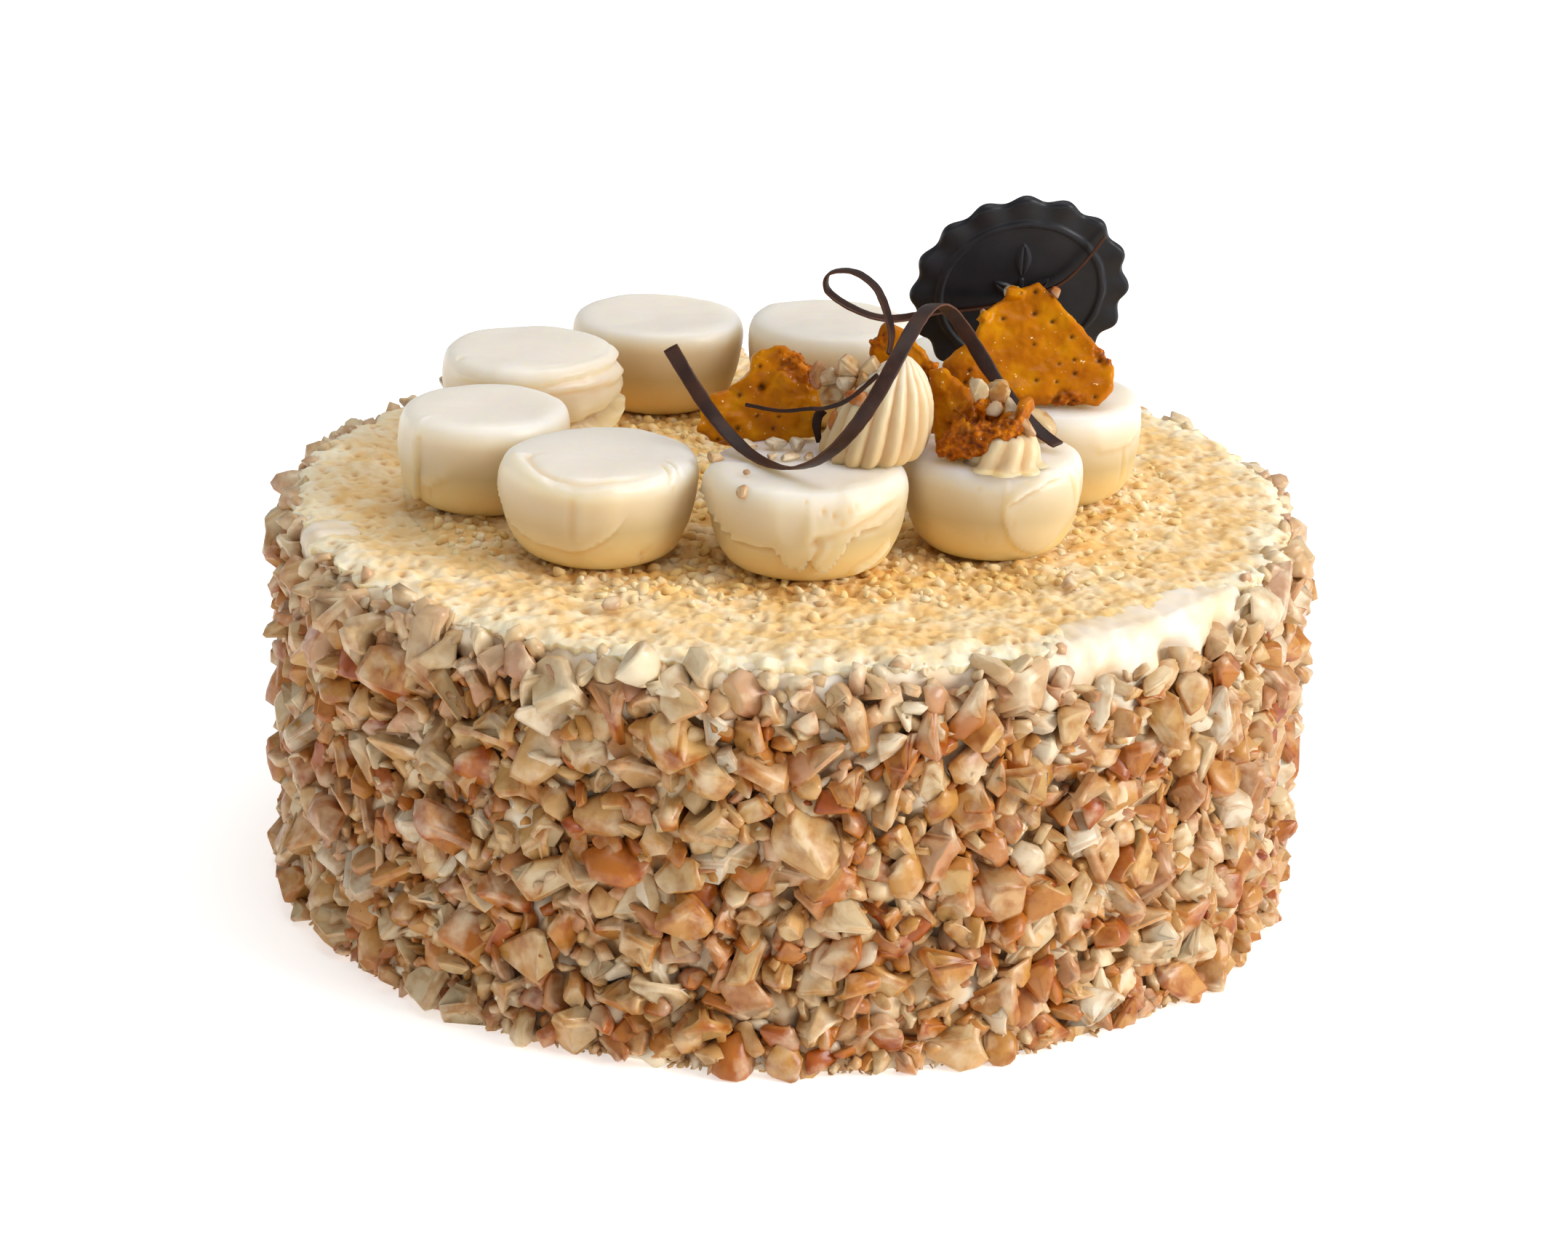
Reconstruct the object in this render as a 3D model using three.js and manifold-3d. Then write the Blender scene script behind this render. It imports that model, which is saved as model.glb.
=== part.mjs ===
// A round banana crumble cake, 8 inches across and 3 inches high, in millimetres with +Z up.
// The origin is the centre of the underside. Seen from the front, along +Y, +X is to the right.
// A nut-crusted wall and a crumb-covered top carry nine piped cream rounds in a ring. On the
// rounds stand two ridged cream rosettes, four pieces of nut brittle, a scalloped chocolate
// medallion, four thin chocolate curls and a few chopped nuts.
import * as THREE from 'three';
import { ConvexGeometry } from 'three/addons/geometries/ConvexGeometry.js';
import { mergeVertices } from 'three/addons/utils/BufferGeometryUtils.js';
import Module from 'manifold-3d';

const wasm = await Module();
wasm.setup();

// The cake body: the cream wall under the nuts, and how uneven the crust on it is.
const WALL_RADIUS = 96.8;
const BASE_FLARE = 1.6;
const BASE_FLARE_HEIGHT = 14;
const CAKE_HEIGHT = 76;
const RIM_ROUNDING = 4;
const WALL_SEGMENTS = 64;
const WALL_ROWS = 8;
const WALL_ROUGHNESS = 1.5;
const CRUMB_DIP = 0.8;
const CRUMB_RING_RADII = [89, 83, 76, 56, 30];

// Chopped nuts: length, width and thickness ranges, how many are pressed on the wall between two
// heights, how far they stand out and how much they tilt.
const NUT_CORNERS = 4;
const WALL_NUTS = 150;
const WALL_NUT = { length: [8.5, 13.5], width: [6.5, 9], thickness: [3.6, 4.6] };
const WALL_NUT_HEIGHTS = [3, 74];
const WALL_NUT_TILT = 0.25;
const NUT_STANDOUT = 1.2;
const SMALL_NUT = { length: [4, 6.5], width: [3.2, 4.6], thickness: [1.8, 2.8] };

// Lumps of crumb on the top, in a band near the rim.
const TOP_LUMPS = 12;
const TOP_LUMP = { length: [3.5, 6], width: [3, 4.5], thickness: [2.2, 3] };
const TOP_LUMP_RADII = [79, 90];
const TOP_LUMP_STANDOUT = 0.4;

// Pieces that touch keep this gap, and everything on the top stands this far over it.
const CLEARANCE = 0.3;
const TOP = CAKE_HEIGHT + CLEARANCE;

// The ring of cream rounds: centre, radius and height of each, from the back left anticlockwise
// seen from above. The last one is hidden behind the medallion.
const ROUNDS = [
  { x: -28.9, y: 55.1, radius: 17.9, height: 18.8 },
  { x: 7.4, y: 48.8, radius: 17.5, height: 20.5 },
  { x: -52.9, y: 21.4, radius: 18.1, height: 20.6 },
  { x: -58.4, y: -14.6, radius: 16.7, height: 19 },
  { x: -35, y: -41.6, radius: 18.5, height: 18.5 },
  { x: 2.6, y: -44.5, radius: 18.4, height: 18.5 },
  { x: 36.8, y: -31.8, radius: 16.8, height: 18.5 },
  { x: 50.6, y: 0.6, radius: 17.2, height: 20 },
  { x: 38.6, y: 34.2, radius: 16.6, height: 19 },
];
// Half section of a round as fractions of its radius and height: a bowl-like side that is widest
// high up, and a flat top nearly as wide.
const ROUND_SECTION = [
  [0.62, 0], [0.79, 0.09], [0.92, 0.31], [0.995, 0.66], [0.99, 0.88], [0.94, 0.97], [0.85, 1],
];
const ROUND_SEGMENTS = 18;
const ROUND_UNEVENNESS = 0.012;
const ROUND_TOP = TOP + 18.5 + CLEARANCE;

// Ridged rosettes piped with a star nozzle: base centre, size, number of ridges, how far the
// ridges twist, and how far the tip leans along a curve that is steepest at the foot.
const ROSETTE_FRONT = {
  x: 13.6, y: -38.8, radius: 9.6, height: 18.4, ridges: 16, twist: -0.3, leanX: 6, leanY: 2,
  rings: [[0.92, 0], [1, 0.08], [0.97, 0.3], [0.87, 0.5], [0.68, 0.7], [0.42, 0.86], [0.2, 0.96]],
};
const ROSETTE_RIGHT = {
  x: 38.6, y: -41.8, radius: 6.6, height: 6.4, ridges: 11, twist: 0.1, leanX: 0, leanY: 0,
  rings: [[0.88, 0], [1, 0.16], [0.97, 0.6], [0.78, 0.92]],
};
const RIDGE_DEPTH = 0.07;
const POINTS_PER_RIDGE = 3;
const LEAN_CURVE = 0.8;

// Brittle: broken caramel plates. Each outline is in the plate's own plane, measured from the
// point that it stands on, with the plate turned about Z and leaning back.
const BRITTLE_THICKNESS = 3;
const BRITTLE_BEVEL = 0.8;
const BRITTLE_WAVE = { height: 0.5, across: 0.45, up: 0.38 };
const PLATES = {
  large: {
    foot: [46, -10.6, 97], turn: 0, lean: 33, thickness: BRITTLE_THICKNESS,
    outline: [[12, 0], [14.6, 3], [14.8, 8], [9, 15], [3, 21.6], [0, 24.6], [-5, 22], [-9.7, 18.4],
      [-12, 13.4], [-18, 7.8], [-13, 0.4], [-6, 0]],
  },
  left: {
    foot: [-4, -29.4, 95.4], turn: -8, lean: 22, thickness: 4.4,
    outline: [[8.8, 0], [7.8, 9], [5.8, 14], [0.4, 16.4], [-4, 14.6], [-6, 10.6], [-10, 7.6], [-13.6, 4.8],
      [-14, -0.6], [-10, -2.6], [-4, -2]],
  },
  back: {
    foot: [24.4, -25.6, 95.2], turn: 0, lean: 8, thickness: 2.6,
    outline: [[3, 0], [3.2, 7], [2, 12.6], [-1.4, 17], [-4.4, 19.2], [-8, 20.4], [-10.6, 17.4], [-10.4, 11],
      [-4, 6], [-1.2, 0]],
  },
  centre: {
    foot: [30.4, -34.4, 95.4], turn: -10, lean: 25, thickness: 2.8,
    outline: [[2.6, 0], [4.6, 6], [1.2, 11], [-3.4, 14], [-7, 14], [-6, 7], [-4, 0]],
  },
};
// The rough broken lumps in front of the centre plate, joined to it. The front one rises to the
// right over the right rosette.
const BRITTLE_LUMPS = [
  { x: 34, y: -40.6, z: 100.8, length: 18.6, width: 6, height: 6.4, turn: -15, rise: 17 },
  { x: 34.4, y: -36.4, z: 100.6, length: 13, width: 7.6, height: 7.4, turn: -6, rise: 8 },
];
const LUMP_ROUGHNESS = 0.22;

// The chocolate medallion: a thin scalloped disc with a raised ring and a sprig of leaves, in
// pairs along a stem with one more at its tip.
const MEDALLION = {
  centre: [43.3, 12, 113.4], turn: 7.5, lean: -20, radius: 21, scallop: 0.03, scallops: 16,
  pointsPerScallop: 5, phase: 2.4, thickness: 2, ringRadius: 16, ringWidth: 1.1, ringSegments: 32,
  relief: 0.5,
};
const LEAF = { length: 7.5, width: 3.4, spread: 48, pairHeights: [-8, -2], tipHeight: 4, aside: 0.35 };
const STEM = { width: 0.9, length: 15, middle: -4.5 };

// The chocolate curls: ribbons with a flat section. The front one is a helix about a level axis.
const CURL_FRONT = {
  axisStart: [-4.3, -48.2, 110.85], axisTurn: 11, radius: 15.1, radiusLoss: 0.33, crossScale: 1.12,
  pitch: 57, axisDrop: 0.032, startTurn: -1.7, endTurn: 6.22, width: 2.8, thickness: 0.7, steps: 34,
};
const CURL_LOOP = {
  points: [[17.1, -29.5, 111.4], [17.5, -28, 114.6], [16.5, -24, 118.2], [14.4, -19, 121.4],
    [10.2, -15, 123.1], [5.9, -12.5, 121.9], [5.6, -10.5, 118.5], [9.7, -8.5, 114.8],
    [16.3, -6, 111.9], [28, 5.6, 110.4], [37.9, 9, 110.9], [45.8, 9.4, 113.1], [51.3, 9.2, 115.8],
    [55.2, 8.1, 120], [58.9, 6.5, 125.8]],
  axis: [0.35, 0.9, 0.1], width: 2.2, endWidth: 0.7, thickness: 0.8, steps: 40,
};
const CURL_THREAD = {
  points: [[-8.9, -34.5, 102.6], [-2.5, -35.5, 101.9], [2.4, -39.5, 103.6], [6.1, -45.6, 105.8],
    [9.8, -49, 108.5], [14.7, -49.6, 113.3]],
  axis: [0, 0.2, 1], width: 0.9, endWidth: 0.8, thickness: 0.7, steps: 10,
};
const CURL_SCRAP = {
  points: [[5.3, -34.7, 102], [4.5, -34.5, 100.9], [4.2, -34.4, 99], [4.5, -34.5, 97.2],
    [4.7, -34.7, 95.8]],
  axis: [1, 0, 0.2], width: 1.8, endWidth: 0.9, thickness: 0.7, steps: 8,
};

// Small chopped nuts: on a cream round's top, on the front rosette's left shoulder and beside it,
// on the centre brittle, and on the large plate in its own plane.
const NUTS_ON_ROUND = [[-3.4, -36.8], [0.8, -37.4], [-8, -38.4]];
const NUTS_ON_ROSETTE = [
  [9.8, -34.4, 101.8], [8.4, -33.8, 103.8], [6.8, -33, 105.4], [5.8, -33, 108.4], [4.2, -33, 107.6],
  [13.4, -35.4, 111.2], [10.8, -35.4, 111], [10.4, -36, 108], [12.6, -36.5, 108.6],
  [11.9, -41.3, 106.8], [7.4, -39.3, 101.5],
];
const NUTS_ON_CENTRE = [[34.3, -36, 106], [37.2, -36, 105.8], [39, -37.4, 104.4], [41.4, -40.4, 105.4]];
const NUTS_ON_LARGE = [[-4.6, 21.6], [-10, 16.6]];
const ROUND_WITH_NUTS = 6;
const NUT_ABOVE_ROUND = 0.4;

const COLOURS = {
  crust: 0xe3bd8a, cream: 0xf3e6c8, caramel: 0xc9730d, chocolate: 0x2a2427, curl: 0x4a2c26,
};

/** A repeatable stream of numbers from 0 to 1. */
function randomStream(seed) {
  let state = seed;
  return () => {
    state = (state + 0x6d2b79f5) | 0;
    let t = Math.imul(state ^ (state >>> 15), 1 | state);
    t = (t + Math.imul(t ^ (t >>> 7), 61 | t)) ^ t;
    return ((t ^ (t >>> 14)) >>> 0) / 4294967296;
  };
}

const between = (random, [low, high]) => low + (high - low) * random();

/** The same geometry with positions only and shared corners merged. */
function merged(geometry) {
  const plain = geometry.clone();
  for (const name of ['normal', 'uv']) plain.deleteAttribute(name);
  return mergeVertices(plain, 1e-4);
}

/** Moves every corner of a geometry by a function that changes the vector it is given. */
function reshape(geometry, change) {
  const shape = merged(geometry);
  const position = shape.attributes.position;
  const corner = new THREE.Vector3();
  for (let i = 0; i < position.count; i += 1) {
    change(corner.fromBufferAttribute(position, i));
    position.setXYZ(i, corner.x, corner.y, corner.z);
  }
  return shape;
}

function toSolid(geometry) {
  const shape = merged(geometry);
  return new wasm.Manifold(new wasm.Mesh({
    numProp: 3,
    vertProperties: new Float32Array(shape.attributes.position.array),
    triVerts: new Uint32Array(shape.index.array),
  }));
}

function toGeometry(solid) {
  const { vertProperties, triVerts } = solid.getMesh();
  const geometry = new THREE.BufferGeometry();
  geometry.setAttribute('position', new THREE.BufferAttribute(new Float32Array(vertProperties), 3));
  geometry.setIndex(new THREE.BufferAttribute(new Uint32Array(triVerts), 1));
  return geometry;
}

/** The largest body of a solid, without any loose scrap. */
const largest = (solid) => solid.decompose().reduce((a, b) => (a.volume() > b.volume() ? a : b));

const joined = (geometries) => toGeometry(largest(wasm.Manifold.union(geometries.map(toSolid))));

function cut(geometry, cutters) {
  const room = wasm.Manifold.union(cutters.map(toSolid));
  return toGeometry(largest(toSolid(geometry).subtract(room)));
}

/** A lathe turned about Z from a half section that starts and ends on the axis. */
function turned(section, segments) {
  const points = section.map(([r, z]) => new THREE.Vector2(r, z));
  return new THREE.LatheGeometry(points, segments).rotateX(Math.PI / 2);
}

/** One angular chopped nut: the hull of two uneven polygons, the upper one the smaller. */
function nut(random, sizes) {
  const half = [sizes.length, sizes.width, sizes.thickness].map((range) => between(random, range) / 2);
  const points = [];
  for (const [height, spread] of [[-1, 1], [1, 0.72]]) {
    for (let i = 0; i < NUT_CORNERS; i += 1) {
      const around = ((i + 0.6 * random()) / NUT_CORNERS) * 2 * Math.PI;
      const reach = spread * (0.8 + 0.3 * random());
      points.push(new THREE.Vector3(
        half[0] * reach * Math.cos(around),
        half[1] * reach * Math.sin(around),
        half[2] * (height + 0.3 * (random() - 0.5)),
      ));
    }
  }
  return new ConvexGeometry(points);
}

/** A chopped nut at a place, rolled at random, with its own Z along a direction. */
function aimedNut(random, sizes, direction, place) {
  const up = new THREE.Vector3(0, 0, 1);
  const turn = new THREE.Quaternion().setFromUnitVectors(up, direction.clone().normalize());
  const piece = nut(random, sizes).rotateZ(random() * Math.PI);
  return piece.applyQuaternion(turn).translate(...place);
}

/** The cake body: a turned core with a rough wall, with nuts on the wall and lumps on the top. */
function cakeGeometry() {
  const random = randomStream(11);
  const section = [[0, 0]];
  for (let row = 0; row <= WALL_ROWS; row += 1) {
    const z = (CAKE_HEIGHT - RIM_ROUNDING) * (row / WALL_ROWS);
    const low = Math.max(0, 1 - z / BASE_FLARE_HEIGHT);
    section.push([WALL_RADIUS + BASE_FLARE * low, z]);
  }
  section.push([WALL_RADIUS - RIM_ROUNDING * 0.7, CAKE_HEIGHT - RIM_ROUNDING * 0.2]);
  for (const radius of CRUMB_RING_RADII) section.push([radius, CAKE_HEIGHT]);
  section.push([0, CAKE_HEIGHT]);
  const core = reshape(turned(section, WALL_SEGMENTS), (corner) => {
    const radius = Math.hypot(corner.x, corner.y);
    const wall = radius > WALL_RADIUS - 1;
    const scale = wall ? 1 + (WALL_ROUGHNESS * (2 * random() - 1)) / radius : 1;
    corner.x *= scale;
    corner.y *= scale;
    if (!wall && corner.z > 1) corner.z -= CRUMB_DIP * random();
  });
  return joined([core, ...wallNuts(random), ...topLumps(random)]);
}

/** Nuts pressed on the wall at even spacing, each standing out and tilted a little differently. */
function wallNuts(random) {
  const golden = Math.PI * (3 - Math.sqrt(5));
  const [lowest, highest] = WALL_NUT_HEIGHTS;
  return Array.from({ length: WALL_NUTS }, (_, i) => {
    const angle = i * golden;
    const height = lowest + (highest - lowest) * ((i + 0.5) / WALL_NUTS) + 2 * (random() - 0.5);
    const outward = new THREE.Vector3(Math.cos(angle), Math.sin(angle), 0);
    const around = new THREE.Vector3(-outward.y, outward.x, 0);
    const facing = outward.clone().addScaledVector(around, WALL_NUT_TILT * (2 * random() - 1));
    facing.z = WALL_NUT_TILT * (2 * random() - 1);
    const reach = WALL_RADIUS + NUT_STANDOUT * (random() - 0.2);
    const place = [outward.x * reach, outward.y * reach, height];
    const piece = aimedNut(random, WALL_NUT, facing, place);
    return reshape(piece, (corner) => { corner.z = Math.max(corner.z, 0); });
  });
}

/** Crumb lumps on the top. */
function topLumps(random) {
  return Array.from({ length: TOP_LUMPS }, (_, i) => {
    const angle = (i * 2 * Math.PI) / TOP_LUMPS + 0.3 * random();
    const radius = between(random, TOP_LUMP_RADII);
    const facing = new THREE.Vector3(random() - 0.5, random() - 0.5, 2);
    const place = [radius * Math.cos(angle), radius * Math.sin(angle), CAKE_HEIGHT + TOP_LUMP_STANDOUT];
    return aimedNut(random, TOP_LUMP, facing, place);
  });
}

/** One piped cream round with a flat top, a soft edge and a side that bulges. */
function roundGeometry({ x, y, radius, height }, index) {
  const section = [[0, 0], ...ROUND_SECTION.map(([r, z]) => [r * radius, z * height]), [0, height]];
  const shape = reshape(turned(section, ROUND_SEGMENTS), (corner) => {
    const around = Math.atan2(corner.y, corner.x);
    const waves = Math.cos(2 * around + index) + 0.6 * Math.cos(3 * around + 2 * index) - 0.6;
    const swell = 1 + ROUND_UNEVENNESS * waves;
    corner.x *= swell;
    corner.y *= swell;
  });
  return shape.translate(x, y, TOP);
}

/** A rosette: a lathe whose radius rises and falls with the ridges, twisted and leaning to its tip. */
function rosetteGeometry({ x, y, radius, height, ridges, twist, leanX, leanY, rings }) {
  const section = [[0, 0], ...rings.map(([r, z]) => [r * radius, z * height]), [0, height]];
  const shape = reshape(turned(section, ridges * POINTS_PER_RIDGE), (corner) => {
    const rise = Math.max(corner.z / height, 0);
    const reach = Math.hypot(corner.x, corner.y);
    const around = Math.atan2(corner.y, corner.x);
    const ridged = reach * (1 - RIDGE_DEPTH + RIDGE_DEPTH * Math.cos(ridges * around));
    const leaning = rise ** LEAN_CURVE;
    corner.x = ridged * Math.cos(around + twist * rise) + leanX * leaning;
    corner.y = ridged * Math.sin(around + twist * rise) + leanY * leaning;
  });
  return shape.translate(x, y, ROUND_TOP);
}

/** The matrix that stands a flat outline on a foot, turned about Z and leaning back. */
function standing(foot, turn, lean) {
  const around = THREE.MathUtils.degToRad(turn);
  const back = THREE.MathUtils.degToRad(lean);
  const across = new THREE.Vector3(Math.cos(around), Math.sin(around), 0);
  const normal = new THREE.Vector3(Math.sin(around), -Math.cos(around), 0)
    .multiplyScalar(Math.cos(back)).setZ(Math.sin(back));
  const up = new THREE.Vector3().crossVectors(normal, across);
  return new THREE.Matrix4().makeBasis(across, up, normal).setPosition(...foot);
}

/** A brittle plate, or with grow the slightly larger cutter that makes room for it. */
function plateGeometry({ foot, turn, lean, thickness, outline }, grow = 0) {
  const shape = new THREE.Shape(outline.map(([u, v]) => new THREE.Vector2(u, v)));
  const depth = thickness - 2 * BRITTLE_BEVEL + 2 * grow;
  const plate = new THREE.ExtrudeGeometry(shape, {
    depth, bevelEnabled: true, bevelThickness: BRITTLE_BEVEL, bevelSize: BRITTLE_BEVEL,
    bevelOffset: grow - BRITTLE_BEVEL, bevelSegments: 1,
  }).translate(0, 0, -depth / 2);
  const wavy = reshape(plate, (corner) => {
    const wave = Math.sin(BRITTLE_WAVE.across * corner.x + 1) + Math.cos(BRITTLE_WAVE.up * corner.y);
    corner.z += BRITTLE_WAVE.height * wave;
  });
  return wavy.applyMatrix4(standing(foot, turn, lean));
}

/** Small nuts stuck on a plate at places given in the plate's plane. */
function nutsOnPlate({ foot, turn, lean, thickness }, places, random) {
  const stand = standing(foot, turn, lean);
  return places.map(([u, v]) => {
    const piece = nut(random, SMALL_NUT).rotateZ(random() * Math.PI).translate(u, v, thickness / 2);
    return piece.applyMatrix4(stand);
  });
}

/** The rough lumps of the centre brittle, or with grow the cutters that make room for them. */
function lumpGeometries(grow = 0) {
  const random = randomStream(37);
  return BRITTLE_LUMPS.map(({ x, y, z, length, width, height, turn, rise }) => {
    const size = [length, width, height].map((side) => side + 2 * grow);
    const lump = reshape(new THREE.SphereGeometry(0.5, 10, 6), (corner) => {
      const rough = 1 + LUMP_ROUGHNESS * (random() - 0.5);
      corner.set(corner.x * size[0] * rough, corner.y * size[1] * rough, corner.z * size[2] * rough);
    });
    lump.rotateY(THREE.MathUtils.degToRad(-rise)).rotateZ(THREE.MathUtils.degToRad(turn));
    return lump.translate(x, y, z);
  });
}

/** The scalloped disc on its own plane, or with grow the cutter for its slot. */
function medallionDisc(grow = 0) {
  const { radius, scallop, scallops, pointsPerScallop, phase, thickness } = MEDALLION;
  const count = scallops * pointsPerScallop;
  const rim = Array.from({ length: count }, (_, i) => {
    const around = (i / count) * 2 * Math.PI + THREE.MathUtils.degToRad(phase);
    const reach = radius * (1 + scallop * Math.cos((scallops * 2 * Math.PI * i) / count)) + grow;
    return new THREE.Vector2(reach * Math.cos(around), reach * Math.sin(around));
  });
  const depth = thickness + 2 * grow;
  const disc = new THREE.ExtrudeGeometry(new THREE.Shape(rim), { depth, bevelEnabled: false });
  return disc.translate(0, 0, -depth / 2);
}

/** The raised ring and the sprig of leaves on the medallion's face. */
function medallionRelief() {
  const { ringRadius, ringWidth, ringSegments, relief, thickness } = MEDALLION;
  const face = thickness / 2;
  const half = ringWidth / 2;
  const ring = turned([[ringRadius - half, face - relief], [ringRadius + half, face - relief],
    [ringRadius, face + relief], [ringRadius - half, face - relief]], ringSegments);
  const leaf = (aside, height, turn) => {
    const blade = reshape(new THREE.SphereGeometry(0.5, 6, 4), (corner) => {
      corner.set(corner.x * LEAF.width, (corner.y + 0.5) * LEAF.length, corner.z * 2 * relief);
    });
    return blade.rotateZ(THREE.MathUtils.degToRad(turn)).translate(aside, height, face);
  };
  const pairs = LEAF.pairHeights.flatMap((height) => [-1, 1].map(
    (side) => leaf(side * LEAF.aside, height, side * LEAF.spread)));
  const stem = new THREE.BoxGeometry(STEM.width, STEM.length, relief);
  stem.translate(0, STEM.middle, face + relief * 0.2);
  return [ring, stem, ...pairs, leaf(0, LEAF.tipHeight, 0)];
}

/** A flat ribbon: a box with many steps whose sections follow a curve. */
function ribbonGeometry(curve, axis, { width, endWidth = width, thickness, steps }) {
  const place = new THREE.Vector3();
  return reshape(new THREE.BoxGeometry(1, 1, 1, 1, 1, steps), (corner) => {
    const along = corner.z + 0.5;
    const tangent = curve.getTangent(along);
    const across = axis.clone().addScaledVector(tangent, -axis.dot(tangent)).normalize();
    const normal = new THREE.Vector3().crossVectors(tangent, across);
    const breadth = THREE.MathUtils.lerp(width, endWidth, Math.max(0, 2 * along - 1));
    curve.getPoint(along, place);
    place.addScaledVector(across, corner.x * breadth).addScaledVector(normal, corner.y * thickness);
    corner.copy(place);
  });
}

/** The front curl's helix, lying along a horizontal axis. */
class CurlHelix extends THREE.Curve {
  getPoint(t, target = new THREE.Vector3()) {
    const { axisStart, axisTurn, radius, radiusLoss, crossScale, pitch, axisDrop } = CURL_FRONT;
    const { startTurn, endTurn } = CURL_FRONT;
    const turn = startTurn + (endTurn - startTurn) * t;
    const along = (pitch * turn) / (2 * Math.PI);
    const reach = radius - radiusLoss * turn;
    const heading = THREE.MathUtils.degToRad(axisTurn);
    const aside = reach * crossScale * Math.sin(turn);
    return target.set(
      axisStart[0] + along * Math.cos(heading) + aside * Math.sin(heading),
      axisStart[1] + along * Math.sin(heading) - aside * Math.cos(heading),
      axisStart[2] - axisDrop * Math.max(0, along) - reach * Math.cos(turn),
    );
  }
}

function smoothRibbon(curl) {
  const curve = new THREE.CatmullRomCurve3(curl.points.map((point) => new THREE.Vector3(...point)));
  return ribbonGeometry(curve, new THREE.Vector3(...curl.axis).normalize(), curl);
}

/** The front rosette with nuts stuck to its left shoulder. */
function nuttedRosetteGeometry() {
  const random = randomStream(23);
  const centre = new THREE.Vector3(ROSETTE_FRONT.x, ROSETTE_FRONT.y, ROUND_TOP);
  const nuts = NUTS_ON_ROSETTE.map((place) => {
    const outward = new THREE.Vector3(...place).sub(centre).setZ(3);
    return aimedNut(random, SMALL_NUT, outward, place);
  });
  return joined([rosetteGeometry(ROSETTE_FRONT), ...nuts]);
}

/** The centre plate with its rough lumps and the nuts on them. */
function centreBrittleGeometry() {
  const random = randomStream(29);
  const upwards = new THREE.Vector3(0, -0.5, 1);
  const nuts = NUTS_ON_CENTRE.map((place) => aimedNut(random, SMALL_NUT, upwards, place));
  return joined([plateGeometry(PLATES.centre), ...lumpGeometries(), ...nuts]);
}

/** A cream round with room cut in it for what stands in it, and nuts on one of them. */
function fittedRound(round, index, slots) {
  const shape = cut(roundGeometry(round, index), slots);
  if (index + 1 !== ROUND_WITH_NUTS) return shape;
  const random = randomStream(45);
  const upwards = new THREE.Vector3(0, 0, 1);
  const nuts = NUTS_ON_ROUND.map(
    ([x, y]) => aimedNut(random, SMALL_NUT, upwards, [x, y, ROUND_TOP + NUT_ABOVE_ROUND]));
  return joined([shape, ...nuts]);
}

const cake = new THREE.Group();

function add(name, geometry, color, roughness) {
  const material = new THREE.MeshStandardMaterial({ color, roughness, metalness: 0 });
  const mesh = new THREE.Mesh(geometry, material);
  mesh.name = name;
  cake.add(mesh);
}

const medallionStand = standing(MEDALLION.centre, MEDALLION.turn, MEDALLION.lean);
const slots = [
  medallionDisc(CLEARANCE).applyMatrix4(medallionStand),
  ...Object.values(PLATES).map((plate) => plateGeometry(plate, CLEARANCE)),
];

add('cake', cakeGeometry(), COLOURS.crust, 0.85);

ROUNDS.forEach((round, index) => {
  add(`cream_round_${index + 1}`, fittedRound(round, index, slots), COLOURS.cream, 0.5);
});

add('rosette_front', nuttedRosetteGeometry(), COLOURS.cream, 0.5);
add('rosette_right', cut(rosetteGeometry(ROSETTE_RIGHT), lumpGeometries(CLEARANCE)), COLOURS.cream, 0.5);

const nutsOnLarge = nutsOnPlate(PLATES.large, NUTS_ON_LARGE, randomStream(31));
add('brittle_large', joined([plateGeometry(PLATES.large), ...nutsOnLarge]), COLOURS.caramel, 0.3);
add('brittle_left', plateGeometry(PLATES.left), COLOURS.caramel, 0.3);
add('brittle_back', plateGeometry(PLATES.back), COLOURS.caramel, 0.3);
add('brittle_centre', centreBrittleGeometry(), COLOURS.caramel, 0.3);

const medallion = joined([medallionDisc(), ...medallionRelief()]).applyMatrix4(medallionStand);
add('medallion', medallion, COLOURS.chocolate, 0.35);

const frontAxis = THREE.MathUtils.degToRad(CURL_FRONT.axisTurn);
const alongFrontAxis = new THREE.Vector3(Math.cos(frontAxis), Math.sin(frontAxis), 0);
add('curl_front', ribbonGeometry(new CurlHelix(), alongFrontAxis, CURL_FRONT), COLOURS.curl, 0.35);
add('curl_loop', smoothRibbon(CURL_LOOP), COLOURS.curl, 0.35);
add('curl_thread', smoothRibbon(CURL_THREAD), COLOURS.curl, 0.35);
add('curl_scrap', smoothRibbon(CURL_SCRAP), COLOURS.curl, 0.35);

export default cake;
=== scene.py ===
"""A round banana crumble cake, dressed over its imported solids.

A cream wall is crusted with chopped nuts, a bed of crumbs covers the top, and a ring of piped
cream rounds on it carries rosettes, nut brittle, chocolate curls and a chocolate medallion.
Sizes are in millimetres until a mesh is made, which is in metres.
"""
import logging
import math
from dataclasses import dataclass, field
from enum import Enum
from functools import partial
from typing import Callable, Sequence

import bmesh
import bpy
import numpy as np
from mathutils import Matrix, Vector, noise


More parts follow.
